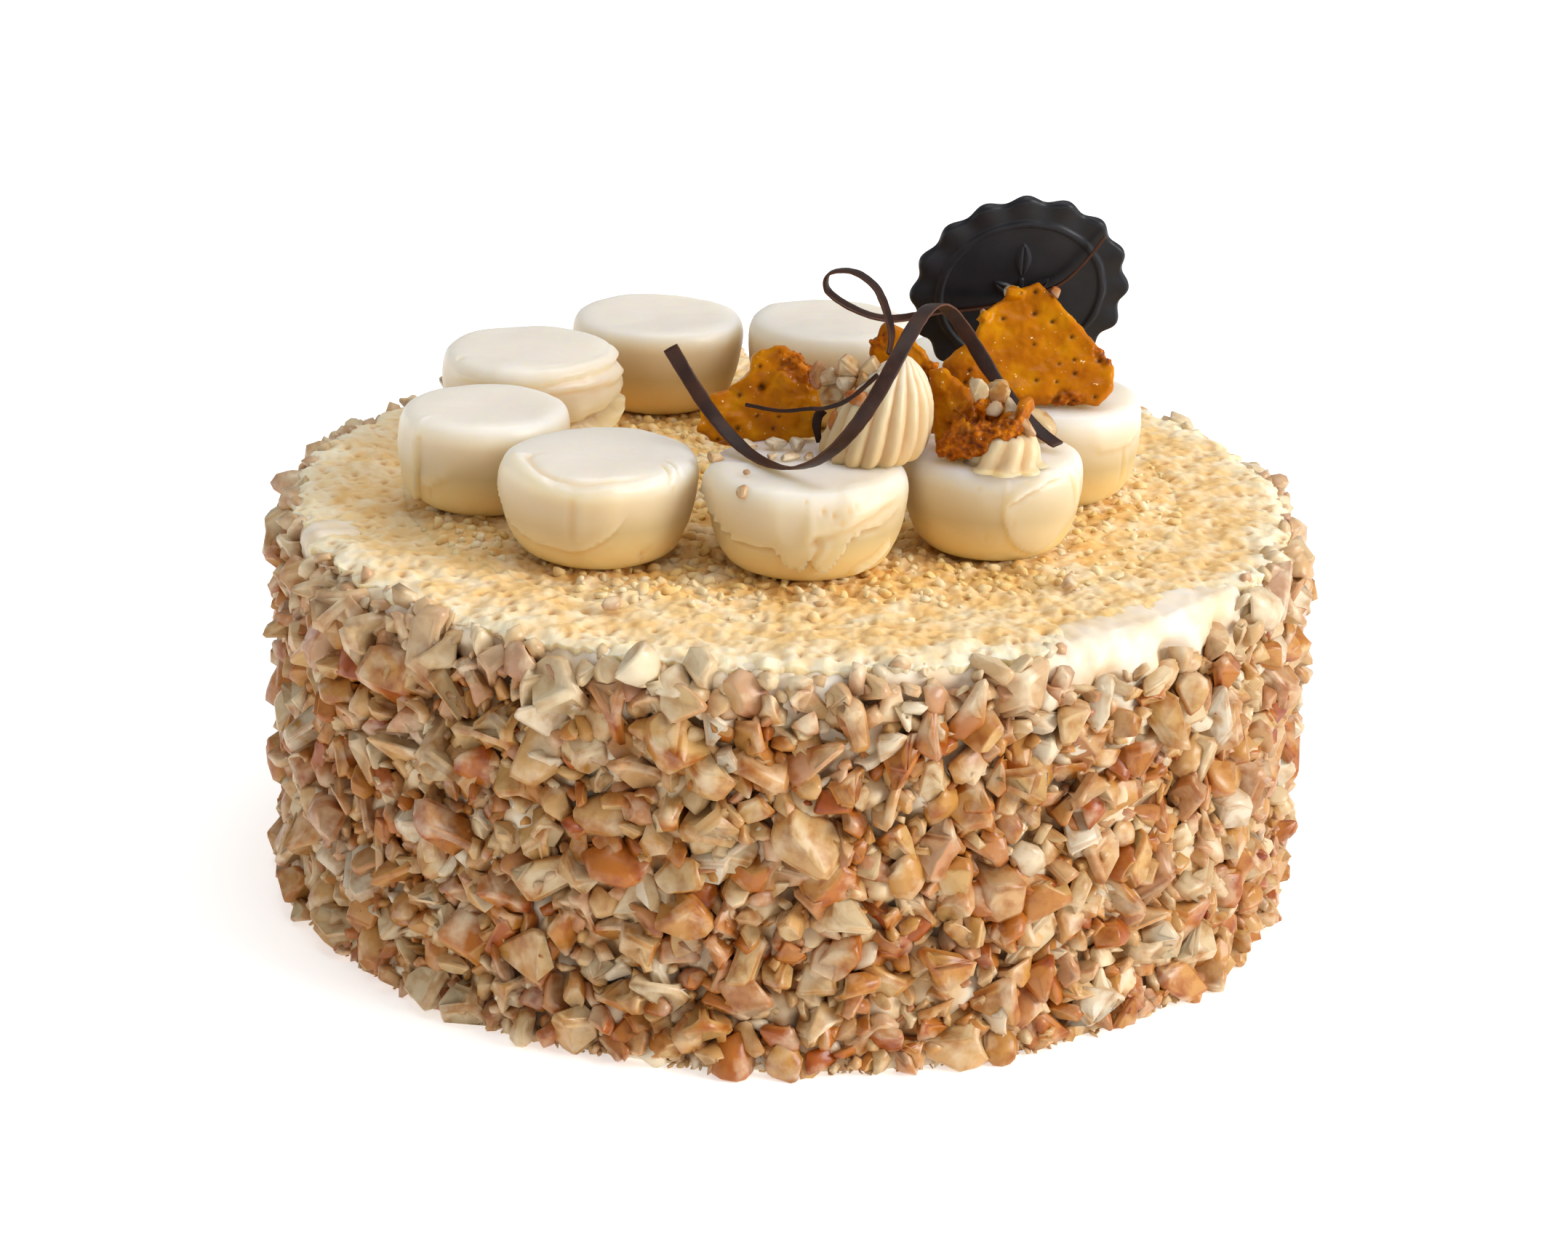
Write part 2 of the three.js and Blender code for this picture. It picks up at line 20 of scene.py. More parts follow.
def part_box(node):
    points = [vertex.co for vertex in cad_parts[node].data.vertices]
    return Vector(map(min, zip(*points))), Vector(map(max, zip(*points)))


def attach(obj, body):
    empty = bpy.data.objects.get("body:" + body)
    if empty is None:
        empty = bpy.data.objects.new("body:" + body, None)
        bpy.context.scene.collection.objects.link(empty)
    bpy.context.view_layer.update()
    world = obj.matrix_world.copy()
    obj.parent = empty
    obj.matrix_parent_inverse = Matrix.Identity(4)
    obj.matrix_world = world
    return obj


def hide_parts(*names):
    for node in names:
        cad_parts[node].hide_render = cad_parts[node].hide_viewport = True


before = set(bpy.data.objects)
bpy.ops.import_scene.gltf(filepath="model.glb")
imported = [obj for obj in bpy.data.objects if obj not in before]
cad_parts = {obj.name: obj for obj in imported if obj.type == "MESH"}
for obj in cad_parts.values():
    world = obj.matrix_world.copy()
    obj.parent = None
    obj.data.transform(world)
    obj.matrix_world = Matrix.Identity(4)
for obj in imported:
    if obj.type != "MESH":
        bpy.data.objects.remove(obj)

MM = 0.001
BODY = "root"
CAKE_TOP = 76.0
ROUND_TOP = 95.1
ROUND_COUNT = 9

LOG = logging.getLogger("cake")

Array = np.ndarray
BMesh = bmesh.types.BMesh
Material = bpy.types.Material
Mesh = bpy.types.Mesh
Socket = bpy.types.NodeSocket
Tree = bpy.types.NodeTree
Point = tuple[float, float, float]
Span = tuple[float, float]
Faces = list[tuple[int, ...]]
Stops = tuple[tuple[float, str], ...]


class Slot(Enum):
    """The record's material slots."""

    NUT_CRUST = "nut_crust"
    CREAM = "cream"
    BRITTLE = "brittle"
    DARK_CHOCOLATE = "dark_chocolate"
    CURL_CHOCOLATE = "curl_chocolate"


class Tone(Enum):
    """Where a nut's colour lies on the ramps of ChoppedNut."""

    ORANGE = 0.03
    TAN = 0.2
    PINKISH = 0.5
    BEIGE = 0.66
    PALE = 0.9
    WHITE = 0.98


def linear(colour: str) -> tuple[float, float, float, float]:
    """Turns an sRGB hex colour into linear red, green, blue and alpha.

    Args:
        colour: a colour such as "#F3E6C8".

    Returns:
        Four numbers from 0 to 1.
    """
    parts = [int(colour[i:i + 2], 16) / 255 for i in (1, 3, 5)]
    bright = [c / 12.92 if c <= 0.04045 else ((c + 0.055) / 1.055) ** 2.4 for c in parts]
    return (*bright, 1.0)


def add_node(tree: Tree, kind: str, inputs: dict | None = None,
             stops: Stops = (), **settings: object) -> bpy.types.Node:
    """Adds a node, sets its properties, and fills or links its sockets.

    Args:
        tree: the tree to add to.
        kind: the node's type name.
        inputs: a value, a hex colour or an output socket for each named or numbered input.
        stops: positions from 0 to 1 with their hex colours, for a colour ramp.
        **settings: properties of the node.

    Returns:
        The new node.
    """
    node = tree.nodes.new(kind)
    for name, value in settings.items():
        setattr(node, name, value)
    for key, value in (inputs or {}).items():
        if isinstance(value, Socket):
            tree.links.new(value, node.inputs[key])
        elif isinstance(value, str) and value.startswith("#"):
            node.inputs[key].default_value = linear(value)
        else:
            node.inputs[key].default_value = value
    for position, _ in stops[2:]:
        node.color_ramp.elements.new(position)
    for element, (position, colour) in zip(node.color_ramp.elements if stops else (), stops):
        element.position = position
        element.color = linear(colour)
    return node


def pattern(tree: Tree, place: Socket, size: float,
            low: float = 0.0, high: float = 1.0, detail: float = 2.0) -> Socket:
    """Noise in a material, stretched so that low becomes 0 and high becomes 1.

    Args:
        tree: the material's tree.
        place: the coordinates, in metres.
        size: width of the blotches in millimetres.
        low: noise value that becomes 0.
        high: noise value that becomes 1.
        detail: how many finer layers it has.

    Returns:
        The factor socket.
    """
    cloud = add_node(tree, "ShaderNodeTexNoise",
                     {"Vector": place, "Scale": 1 / (size * MM), "Detail": detail})
    stretched = add_node(tree, "ShaderNodeMapRange", {
        "Value": cloud.outputs["Fac"], "From Min": low, "From Max": high})
    return stretched.outputs["Result"]


@dataclass(frozen=True)
class Finish:
    """What every finish has: a name, the shader's constant values and a bump."""

    name: str
    roughness: float
    ior: float = 1.45
    specular: float = 0.5
    subsurface: float = 0.0
    bleed: Point = (2.0, 1.2, 0.6)
    coat: float = 0.0
    coat_roughness: float = 0.15
    bump_size: float = 1.0
    bump_height: float = 0.0
    glow: float = 0.0

    def build(self) -> Material:
        """Makes the material: constant shader values, its colour and its bump.

        Returns:
            The material.
        """
        material = bpy.data.materials.new(self.name)
        material.use_nodes = True
        tree = material.node_tree
        shader = tree.nodes["Principled BSDF"]
        constants = {
            "Roughness": self.roughness, "IOR": self.ior, "Specular IOR Level": self.specular,
            "Subsurface Weight": self.subsurface, "Subsurface Radius": self.bleed,
            "Subsurface Scale": MM, "Coat Weight": self.coat,
            "Coat Roughness": self.coat_roughness, "Emission Strength": self.glow,
        }
        for socket, value in constants.items():
            shader.inputs[socket].default_value = value
        place = add_node(tree, "ShaderNodeTexCoord").outputs["Object"]
        tree.links.new(self.colour(tree, place), shader.inputs["Base Color"])
        if self.bump_height:
            bump = add_node(tree, "ShaderNodeBump", {
                "Height": pattern(tree, place, self.bump_size, detail=3.0),
                "Distance": self.bump_height * MM,
            })
            tree.links.new(bump.outputs["Normal"], shader.inputs["Normal"])
        return material

    def colour(self, tree: Tree, place: Socket) -> Socket:
        """Builds the nodes of the base colour.

        Args:
            tree: the material's tree.
            place: Object coordinates in metres.

        Returns:
            The colour socket.
        """
        raise NotImplementedError

    @staticmethod
    def height_above(tree: Tree, place: Socket, low: float, high: float) -> Socket:
        """Measures how high a place is.

        Args:
            tree: the material's tree.
            place: Object coordinates in metres.
            low: the height in millimetres that gives 0.
            high: the height in millimetres that gives 1.

        Returns:
            The factor socket.
        """
        split = add_node(tree, "ShaderNodeSeparateXYZ", {"Vector": place})
        return add_node(tree, "ShaderNodeMapRange", {
            "Value": split.outputs["Z"], "From Min": low * MM, "From Max": high * MM,
        }).outputs["Result"]

    @staticmethod
    def coated(tree: Tree, body: Socket | str, *coats: tuple[Socket | str, Socket | str]) -> Socket:
        """Lays coats of colour over a body colour, one after the other.

        Args:
            tree: the material's tree.
            body: the body's colour, as a socket or a hex colour.
            *coats: how much of each coat shows, as a socket or the name of a mesh attribute,
                and the coat's colour.

        Returns:
            The colour socket.
        """
        for share, tint in coats:
            if isinstance(share, str):
                share = add_node(tree, "ShaderNodeAttribute", attribute_name=share).outputs["Fac"]
            mixed = add_node(tree, "ShaderNodeMix", {0: share, 6: body, 7: tint}, data_type="RGBA")
            body = mixed.outputs[2]
        return body


@dataclass(frozen=True)
class ChoppedNut(Finish):
    """Roasted nut: tan to orange skins round paler cut faces, under smears of cream in places."""

    skins: Stops = (
        (0.0, "#B05C16"), (0.1, "#C07428"), (0.24, "#CA8A3E"), (0.4, "#C68A54"),
        (0.48, "#CC9870"), (0.56, "#D09C54"), (0.7, "#D8AE74"), (0.84, "#DEC498"),
        (0.94, "#E6D8C2"),
    )
    cuts: Stops = (
        (0.0, "#CE8840"), (0.1, "#D8A05A"), (0.26, "#DEB678"), (0.42, "#D6AA82"),
        (0.5, "#DCB280"), (0.64, "#E2C290"), (0.8, "#E8D4B0"), (0.92, "#F0E8D8"),
    )
    border: Stops = ((0.0, "#000000"), (0.3, "#5C5C5C"), (0.6, "#A4A4A4"), (1.0, "#101010"))
    rim: str = "#B46E24"
    toast: Stops = ((0.0, "#C0904A"), (0.6, "#ECE4D6"))
    toast_size: float = 4.0
    smear: str = "#EEDDBA"
    smear_size: float = 6.0
    smear_heights: Span = (60.0, 100.0)
    smear_band: Stops = ((0.1, "#000000"), (0.32, "#9C9C9C"), (0.45, "#A8A8A8"), (0.6, "#000000"))

    def colour(self, tree: Tree, place: Socket) -> Socket:
        """Colours each nut by its tone, toasts the rims and smears cream over some.

        Args:
            tree: the material's tree.
            place: Object coordinates in metres.

        Returns:
            The colour socket.
        """
        tone, skin = (add_node(tree, "ShaderNodeAttribute", attribute_name=name).outputs["Fac"]
                      for name in ("tone", "skin"))
        sides = []
        for stops in (self.cuts, self.skins):
            ramp = add_node(tree, "ShaderNodeValToRGB", {"Fac": tone}, stops)
            ramp.color_ramp.interpolation = "CONSTANT"
            sides.append(ramp.outputs["Color"])
        border = add_node(tree, "ShaderNodeValToRGB", {"Fac": skin}, self.border).outputs["Color"]
        rimmed = self.coated(tree, sides[0], (skin, sides[1]), (border, self.rim))
        toast = add_node(tree, "ShaderNodeValToRGB", {
            "Fac": pattern(tree, place, self.toast_size, 0.3, 0.7, detail=4.0)}, self.toast)
        toasted = add_node(tree, "ShaderNodeMix", {0: 1.0, 6: rimmed, 7: toast.outputs["Color"]},
                           data_type="RGBA", blend_type="MULTIPLY")
        band = add_node(tree, "ShaderNodeValToRGB", {
            "Fac": self.height_above(tree, place, *self.smear_heights)}, self.smear_band)
        film = add_node(tree, "ShaderNodeMath", {
            0: band.outputs["Color"],
            1: pattern(tree, place, self.smear_size, 0.5, 0.85, detail=4.0),
        }, operation="ADD", use_clamp=True)
        return self.coated(tree, toasted.outputs[2], (film.outputs["Value"], self.smear))


@dataclass(frozen=True)
class WallCream(Finish):
    """Buttercream under the nuts: white at the rim, yellow to tan between the nuts, the tan painted
    gap shade.
    """

    # From tan to pale cream; the tan end is painted shade of the gaps between the nuts.
    cream_and_gap_shade: Stops = ((0.0, "#B07840"), (0.4, "#DCBE90"), (1.0, "#E6D8C0"))
    white: Stops = ((0.0, "#EDD6B0"), (0.5, "#F4E3CA"), (1.0, "#F7ECDD"))
    patch_size: float = 9.0
    rim_heights: Span = (66.0, 72.0)

    def colour(self, tree: Tree, place: Socket) -> Socket:
        """Patches of pale yellow cream down to painted tan gap shade, and white towards the rim.

        Args:
            tree: the material's tree.
            place: Object coordinates in metres.

        Returns:
            The colour socket.
        """
        patch = pattern(tree, place, self.patch_size, 0.35, 0.65, detail=3.0)
        # The wall's tan end is painted shade of the gaps between the nuts.
        wall, rim = (add_node(tree, "ShaderNodeValToRGB", {"Fac": patch}, stops).outputs["Color"]
                     for stops in (self.cream_and_gap_shade, self.white))
        return self.coated(tree, wall, (self.height_above(tree, place, *self.rim_heights), rim))


@dataclass(frozen=True)
class CakeCrumb(Finish):
    """Moist crumbs: pale yellow near the rim, tan with painted shade by the rounds, painted shade in
    pores.
    """

    edge: Stops = ((0.0, "#F6DFAE"), (0.5, "#F9E9C8"), (1.0, "#FBF1DC"))
    pale: Stops = ((0.0, "#E9BE7A"), (0.5, "#EECA90"), (1.0, "#F3DAB2"))
    # Tan by the rounds: partly the loose crumbs' own colour, partly painted shade of the rounds.
    tan: Stops = ((0.0, "#DCA454"), (0.5, "#E8B86C"), (1.0, "#F3CF8C"))
    # Painted shade in the pores and in the gaps between grains.
    pore_and_shade: str = "#C48C42"
    near: Span = (58.0, 78.0)
    far: Span = (87.0, 96.0)
    turning: float = 0.9
    blotch_size: float = 6.0

    def colour(self, tree: Tree, place: Socket) -> Socket:
        """Grains of two yellows, tan with painted shade towards the rounds, whiter at the rim, painted
        shade in pores.

        Args:
            tree: the material's tree.
            place: Object coordinates in metres.

        Returns:
            The colour socket.
        """
        grain = add_node(tree, "ShaderNodeAttribute", attribute_name="tone").outputs["Fac"]
        blotch = pattern(tree, place, self.blotch_size, 0.3, 0.7, detail=6.0)
        flat = add_node(tree, "ShaderNodeVectorMath", {0: place, 1: (1.0, 1.0, 0.0)},
                        operation="MULTIPLY")
        reach = add_node(tree, "ShaderNodeVectorMath", {0: flat.outputs["Vector"]},
                         operation="LENGTH")
        # The tan body holds painted shade of the rounds as well as the crumbs' own colour.
        body = add_node(tree, "ShaderNodeValToRGB", {"Fac": grain}, self.tan).outputs["Color"]
        for stops, span, width in ((self.pale, self.near, 1.2), (self.edge, self.far, 1.0)):
            outward = add_node(tree, "ShaderNodeMapRange", {
                "Value": reach.outputs["Value"], "From Min": span[0] * MM, "From Max": span[1] * MM})
            ragged = add_node(tree, "ShaderNodeMath", {0: outward.outputs["Result"], 1: blotch},
                              operation="ADD")
            share = add_node(tree, "ShaderNodeMapRange", {
                "Value": ragged.outputs["Value"], "From Min": self.turning - width / 2,
                "From Max": self.turning + width / 2,
            })
            tint = add_node(tree, "ShaderNodeValToRGB", {"Fac": grain}, stops)
            body = self.coated(tree, body, (share.outputs["Result"], tint.outputs["Color"]))
        # Painted shade in pores and between grains, from the pore values.
        return self.coated(tree, body, ("pore_and_shade", self.pore_and_shade))


@dataclass(frozen=True)
class PipedCream(Finish):
    """Whipped mascarpone cream: greyish white top, painted shade mid-side, painted yellow bounce light
    at its foot.
    """

    # Painted light by height: yellow bounce light from the crumbs at the foot, painted shade at
    # mid-height.
    sides: Stops = (
        (0.0, "#FFE8A4"), (0.2, "#F0D494"), (0.5, "#CEBA8C"), (0.8, "#DCCDB0"), (1.0, "#F0E8DC"),
    )
    spread: str = "#DECBA8"
    # Painted shade, laid in grooves, creases, pits and the valleys between rosette ridges.
    hollow_shade: str = "#E6C48C"
    foot: float = CAKE_TOP
    crown: float = 94.5

    def colour(self, tree: Tree, place: Socket) -> Socket:
        """Painted bounce light at the foot, painted shade mid-side and in hollows; white on top,
        whiter where smeared.

        Args:
            tree: the material's tree.
            place: Object coordinates in metres.

        Returns:
            The colour socket.
        """
        rise = self.height_above(tree, place, self.foot, self.crown)
        # Painted light: the height ramp paints bounce light at the foot and shade at mid-height.
        body = add_node(tree, "ShaderNodeValToRGB", {"Fac": rise}, self.sides).outputs["Color"]
        return self.coated(tree, body, ("layer", self.spread), ("hollow_shade", self.hollow_shade))


@dataclass(frozen=True)
class NutBrittle(Finish):
    """Poured caramel: clear amber, painted shade in burst bubbles, and brown crystalline broken edges.
    """

    amber: Stops = ((0.0, "#A85A00"), (0.5, "#BC6E00"), (1.0, "#D08800"))
    crumbled: Stops = ((0.0, "#5E2A00"), (0.5, "#A05000"), (1.0, "#D27C10"))
    cloud_size: float = 6.0
    crumb_size: float = 1.5
    # Painted shade in the burst bubbles' pits.
    burst: str = "#3A1C04"
    # Painted glints: small pale spots that stand in for specular highlights.
    painted_glint: str = "#F6D9A0"
    glint_size: float = 0.9

    def colour(self, tree: Tree, place: Socket) -> Socket:
        """Amber clouds, browner where broken, painted shade in pits, and a few pale painted glints.

        Args:
            tree: the material's tree.
            place: Object coordinates in metres.

        Returns:
            The colour socket.
        """
        clear, rough = (add_node(tree, "ShaderNodeValToRGB", {
            "Fac": pattern(tree, place, size, 0.3, 0.7, detail=3.0)}, stops).outputs["Color"]
            for size, stops in ((self.cloud_size, self.amber), (self.crumb_size, self.crumbled)))
        # Painted glints: pale specks standing in for highlights on the caramel.
        glint = pattern(tree, place, self.glint_size, 0.71, 0.75)
        return self.coated(tree, clear, ("broken", rough), (glint, self.painted_glint), ("pit_shade", self.burst))


@dataclass(frozen=True)
class Chocolate(Finish):
    """Tempered chocolate: one deep brown, lighter along thin edges."""

    body: str = "#1E1F24"
    edge: str = "#303138"
    bloom_size: float = 6.0

    def colour(self, tree: Tree, place: Socket) -> Socket:
        """The body colour with faint bloom, and the edge colour where the edge attribute is 1.

        Args:
            tree: the material's tree.
            place: Object coordinates in metres.

        Returns:
            The colour socket.
        """
        bloom = pattern(tree, place, self.bloom_size, 0.4, 1.2, detail=4.0)
        return self.coated(tree, self.body, (bloom, self.edge), ("edge", self.edge))


@dataclass(frozen=True)
class Paper(Finish):
    """Matt white background paper, which glows a little so that shadows on it stay pale."""

    whites: Stops = ((0.0, "#FAFAFA"), (1.0, "#FCFCFC"))
    cloud_size: float = 120.0

    def colour(self, tree: Tree, place: Socket) -> Socket:
        """Two near whites, mixed by a broad noise."""
        cloud = pattern(tree, place, self.cloud_size)
        return add_node(tree, "ShaderNodeValToRGB", {"Fac": cloud}, self.whites).outputs["Color"]


def bumps(points: Array, size: float, octaves: int = 3, shift: float = 0.0) -> Array:
    """Smooth noise, from about -1 to 1, at each point.

    Args:
        points: places in millimetres, one for each row.
        size: width of the largest bumps in millimetres.
        octaves: how many layers the noise has.
        shift: moves the pattern, so that pieces differ.

    Returns:
        One value for each point.
    """
    return np.array([noise.fractal(p, 1.0, 2.0, octaves) for p in (points / size + shift).tolist()])


@dataclass(frozen=True)
class Relief:
    """Smooth unevenness: how high its largest bumps are, and how many millimetres wide."""

    height: float
    size: float
    octaves: int = 3
    shift: float = 0.0

    def at(self, points: Array, shift: float = 0.0) -> Array:
        """The relief at each point, with a further shift where several pieces share it."""
        return self.height * bumps(points, self.size, self.octaves, self.shift + shift)


def smoothstep(value: Array, low: float, high: float) -> Array:
    """Rises smoothly from 0 at low to 1 at high."""
    t = np.clip((value - low) / (high - low), 0, 1)
    return t * t * (3 - 2 * t)


def dot(distance: Array, size: float) -> Array:
    """A soft round spot: 1 in the middle and 0 past its size."""
    return np.exp(-(distance / size) ** 2)


def smooth_path(points: Sequence[Sequence[float]], count: int) -> Array:
    """A centripetal Catmull-Rom curve through points of any dimension.

    Args:
        points: the points that the curve passes.
        count: how many points are returned.

    Returns:
        The curve's points, one for each row.
    """
    knots = np.asarray(points, float)
    knots = np.vstack([2 * knots[0] - knots[1], knots, 2 * knots[-1] - knots[-2]])
    spans = len(points) - 1
    along = np.linspace(0, spans, count)
    index = np.minimum(along.astype(int), spans - 1)
    corner = [knots[index + k] for k in range(4)]
    gaps = [np.sqrt(np.linalg.norm(corner[k + 1] - corner[k], axis=1)) for k in range(3)]
    times = [np.zeros(count), gaps[0], gaps[0] + gaps[1], gaps[0] + gaps[1] + gaps[2]]
    now = times[1] + (along - index) * gaps[1]

    def between(first: Array, second: Array, start: int, end: int) -> Array:
        """Mixes two points by where now is between two times."""
        share = ((now - times[start]) / (times[end] - times[start]))[:, None]
        return first * (1 - share) + second * share

    sides = [between(corner[k], corner[k + 1], k, k + 1) for k in range(3)]
    pair = [between(sides[k], sides[k + 1], k, k + 2) for k in range(2)]
    return between(pair[0], pair[1], 1, 2)


def ring_faces(count: int, columns: int, looped: bool = False) -> Faces:
    """Faces between a stack of closed rings.

    Args:
        count: how many rings there are.
        columns: how many points each ring has.
        looped: whether the last ring joins the first, as on a tyre.

    Returns:
        The faces, outwards when the rings run anticlockwise and upwards.
    """
    faces: Faces = []
    for i in range(count if looped else count - 1):
        here, above = i * columns, (i + 1) % count * columns
        faces += [(here + j, here + (j + 1) % columns, above + (j + 1) % columns, above + j)
                  for j in range(columns)]
    return faces


def closed_rings(rings: Array) -> tuple[Array, Faces]:
    """Skins a stack of rings and closes both ends on a middle point.

    Args:
        rings: points by ring, place round the ring, and x, y, z. From the first ring to the
            last, the stack goes up when the rings run anticlockwise seen from above.

    Returns:
        The points, one for each row, and the faces, pointing outwards.
    """
    count, columns, _ = rings.shape
    points = np.vstack([rings.reshape(-1, 3), rings[0].mean(0), rings[-1].mean(0)])
    low, high, last = count * columns, count * columns + 1, (count - 1) * columns
    faces = ring_faces(count, columns)
    faces += [(low, (j + 1) % columns, j) for j in range(columns)]
    faces += [(high, last + j, last + (j + 1) % columns) for j in range(columns)]
    return points, faces


def lathe(section: Array, columns: int) -> Array:
    """Turns a half section about Z.

    Args:
        section: radius and height for each ring.
        columns: how many points each ring has.

    Returns:
        Rings for closed_rings.
    """
    around = np.linspace(0, 2 * math.pi, columns, endpoint=False)
    radius = section[:, 0, None]
    height = np.broadcast_to(section[:, 1, None], (len(section), columns))
    return np.stack([radius * np.cos(around), radius * np.sin(around), height], axis=2)


def new_mesh(name: str, points: Array, faces: Faces,
             attributes: dict[str, Array] | None = None,
             flat: Sequence[bool] | None = None) -> Mesh:
    """Makes a smooth-shaded mesh in metres from points in millimetres.

    Args:
        name: the mesh's name.
        points: places in millimetres.
        faces: corner numbers of each face.
        attributes: a number for each point, by attribute name.
        flat: whether each face is shaded flat, where some are.

    Returns:
        The mesh.
    """
    mesh = bpy.data.meshes.new(name)
    mesh.from_pydata((np.asarray(points) * MM).tolist(), [], faces)
    mesh.shade_smooth()
    if flat is not None:
        mesh.polygons.foreach_set("use_smooth", [not level for level in flat])
    for key, values in (attributes or {}).items():
        layer = mesh.attributes.new(key, "FLOAT", "POINT")
        layer.data.foreach_set("value", np.asarray(values, np.float32))
    mesh.update()
    return mesh


def normals_of(points: Array, faces: Faces) -> Array:
    """Measures which way a surface faces.

    Args:
        points: places in millimetres.
        faces: corner numbers of each face.

    Returns:
        The outward normal at each point, one for each row.
    """
    mesh = new_mesh("measure", points, faces)
    values = np.zeros(len(points) * 3, np.float32)
    mesh.vertices.foreach_get("normal", values)
    bpy.data.meshes.remove(mesh)
    return values.reshape(-1, 3).astype(float)


def new_object(name: str, data: bpy.types.ID) -> bpy.types.Object:
    """Puts a new object in the scene.

    Args:
        name: the object's name.
        data: its mesh, light or camera.

    Returns:
        The object, at the origin.
    """
    thing = bpy.data.objects.new(name, data)
    bpy.context.scene.collection.objects.link(thing)
    return thing


def new_piece(name: str, mesh: Mesh, material: Material,
              slot: Slot, *nodes: str) -> bpy.types.Object:
    """Puts a finished mesh on the cake and reports it.

    Args:
        name: the piece's name.
        mesh: the mesh, with its place in it.
        material: its finish.
        slot: the record's slot that the finish belongs to; it is not used.
        *nodes: the solids that the piece stands for.

    Returns:
        The object.
    """
    mesh.materials.clear()
    mesh.materials.append(material)
    piece = new_object(name, mesh)
    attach(piece, BODY)
    if nodes:
        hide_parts(*nodes)
    LOG.info("%s: %d faces", name, len(mesh.polygons))
    return piece


@dataclass
class NutShape:
    """One chopped nut: a rounded kernel, split and chopped flat, with worn edges.

    Every size is a share of the nut's length.
    """

    seed: int
    segments: int = 7
    rings: int = 5
    cuts: tuple[int, int] = (2, 5)
    worn: float = 0.15
    breadth: Span = (0.4, 0.85)
    fullness: Span = (0.22, 0.6)
    taper: float = 0.9
    bend: float = 0.8
    dents: float = 0.015
    split_slant: float = 0.25
    chop_slant: float = 0.5
    chop_scatter: float = 0.35
    chop_level: Span = (0.5, 0.85)
    cut_rise: float = 0.2
    scoop: float = 0.07

    def kernel(self, shape: BMesh, random: np.random.Generator) -> None:
        """Adds a flattened, tapered and bent ball, about one unit long.

        Args:
            shape: the empty mesh that it is added to.
            random: gives the draws.
        """
        bmesh.ops.create_uvsphere(shape, u_segments=self.segments, v_segments=self.rings,
                                  radius=0.5)
        breadth, depth = random.uniform(*self.breadth), random.uniform(*self.fullness)
        taper = random.uniform(-self.taper, self.taper)
        bend = random.uniform(-self.bend, self.bend)
        for vert in shape.verts:
            x, y, z = vert.co
            vert.co = (x, y * breadth * (1 + taper * x), z * depth + bend * x * x)
            vert.co += Vector(random.normal(0, self.dents, 3))

    def chop(self, shape: BMesh, random: np.random.Generator) -> None:
        """Splits the kernel lengthwise and chops its sides, with material 1 on the cuts.

        Args:
            shape: the kernel.
            random: gives the draws.
        """
        count = random.integers(*self.cuts)
        start = random.uniform(0, math.tau)
        slant = Vector(random.normal(0, self.split_slant, 3))
        facings = [slant + Vector((0, 0, random.choice((-1, 1))))]
        for index in range(count):
            step = index + random.uniform(-self.chop_scatter, self.chop_scatter)
            angle = start + math.tau * step / max(count, 1)
            facings.append(Vector((math.cos(angle), math.sin(angle),
                                   random.normal(0, self.chop_slant))))
        for facing in facings:
            facing.normalize()
            reach = [vert.co.dot(facing) for vert in shape.verts]
            level = min(reach) + (max(reach) - min(reach)) * random.uniform(*self.chop_level)
            cut = bmesh.ops.bisect_plane(
                shape, geom=[*shape.verts, *shape.edges, *shape.faces],
                plane_co=facing * level, plane_no=facing, clear_outer=True)
            rim = [part for part in cut["geom_cut"] if isinstance(part, bmesh.types.BMEdge)]
            for face in bmesh.ops.holes_fill(shape, edges=rim)["faces"]:
                face.material_index = 1

    def wear(self, shape: BMesh) -> None:
        """Rounds the border of each cut face and scoops out its middle.

        Args:
            shape: the chopped kernel, which gets a skin layer: 1 on skin and 0 on cuts.
        """
        skin = shape.verts.layers.float.new("skin")
        for vert in shape.verts:
            vert[skin] = 0.5 if all(face.material_index for face in vert.link_faces) else 1.0
        flats = [face for face in shape.faces if face.material_index]
        raised = bmesh.ops.extrude_discrete_faces(shape, faces=flats)["faces"]
        shape.normal_update()
        for face in raised:
            middle, normal = face.calc_center_median(), face.normal.copy()
            face.material_index = 2
            for vert in face.verts:
                vert.co += (middle - vert.co) * self.worn + normal * self.cut_rise * self.worn
                vert[skin] = 0.0
        poked = bmesh.ops.poke(shape, faces=raised)
        for vert in poked["verts"]:
            vert.co -= vert.normal * self.scoop
            vert[skin] = 0.0

    def chip(self) -> tuple[Array, Faces, Array]:
        """Shapes the nut, one unit long.

        Returns:
            The points, the faces, and 1 for skin or 0 for a cut at each point.
        """
        random = np.random.default_rng(self.seed)
        shape = bmesh.new()
        self.kernel(shape, random)
        self.chop(shape, random)
        if self.worn:
            self.wear(shape)
        shape.verts.index_update()
        layer = shape.verts.layers.float.get("skin")
        bare = float(random.integers(2))
        points = np.array([vert.co for vert in shape.verts])
        faces = [tuple(vert.index for vert in face.verts) for face in shape.faces]
        skin = np.array([vert[layer] if layer else bare for vert in shape.verts])
        shape.free()
        points -= (points.max(0) + points.min(0)) / 2
        return points / np.ptp(points, axis=0).max(), faces, skin


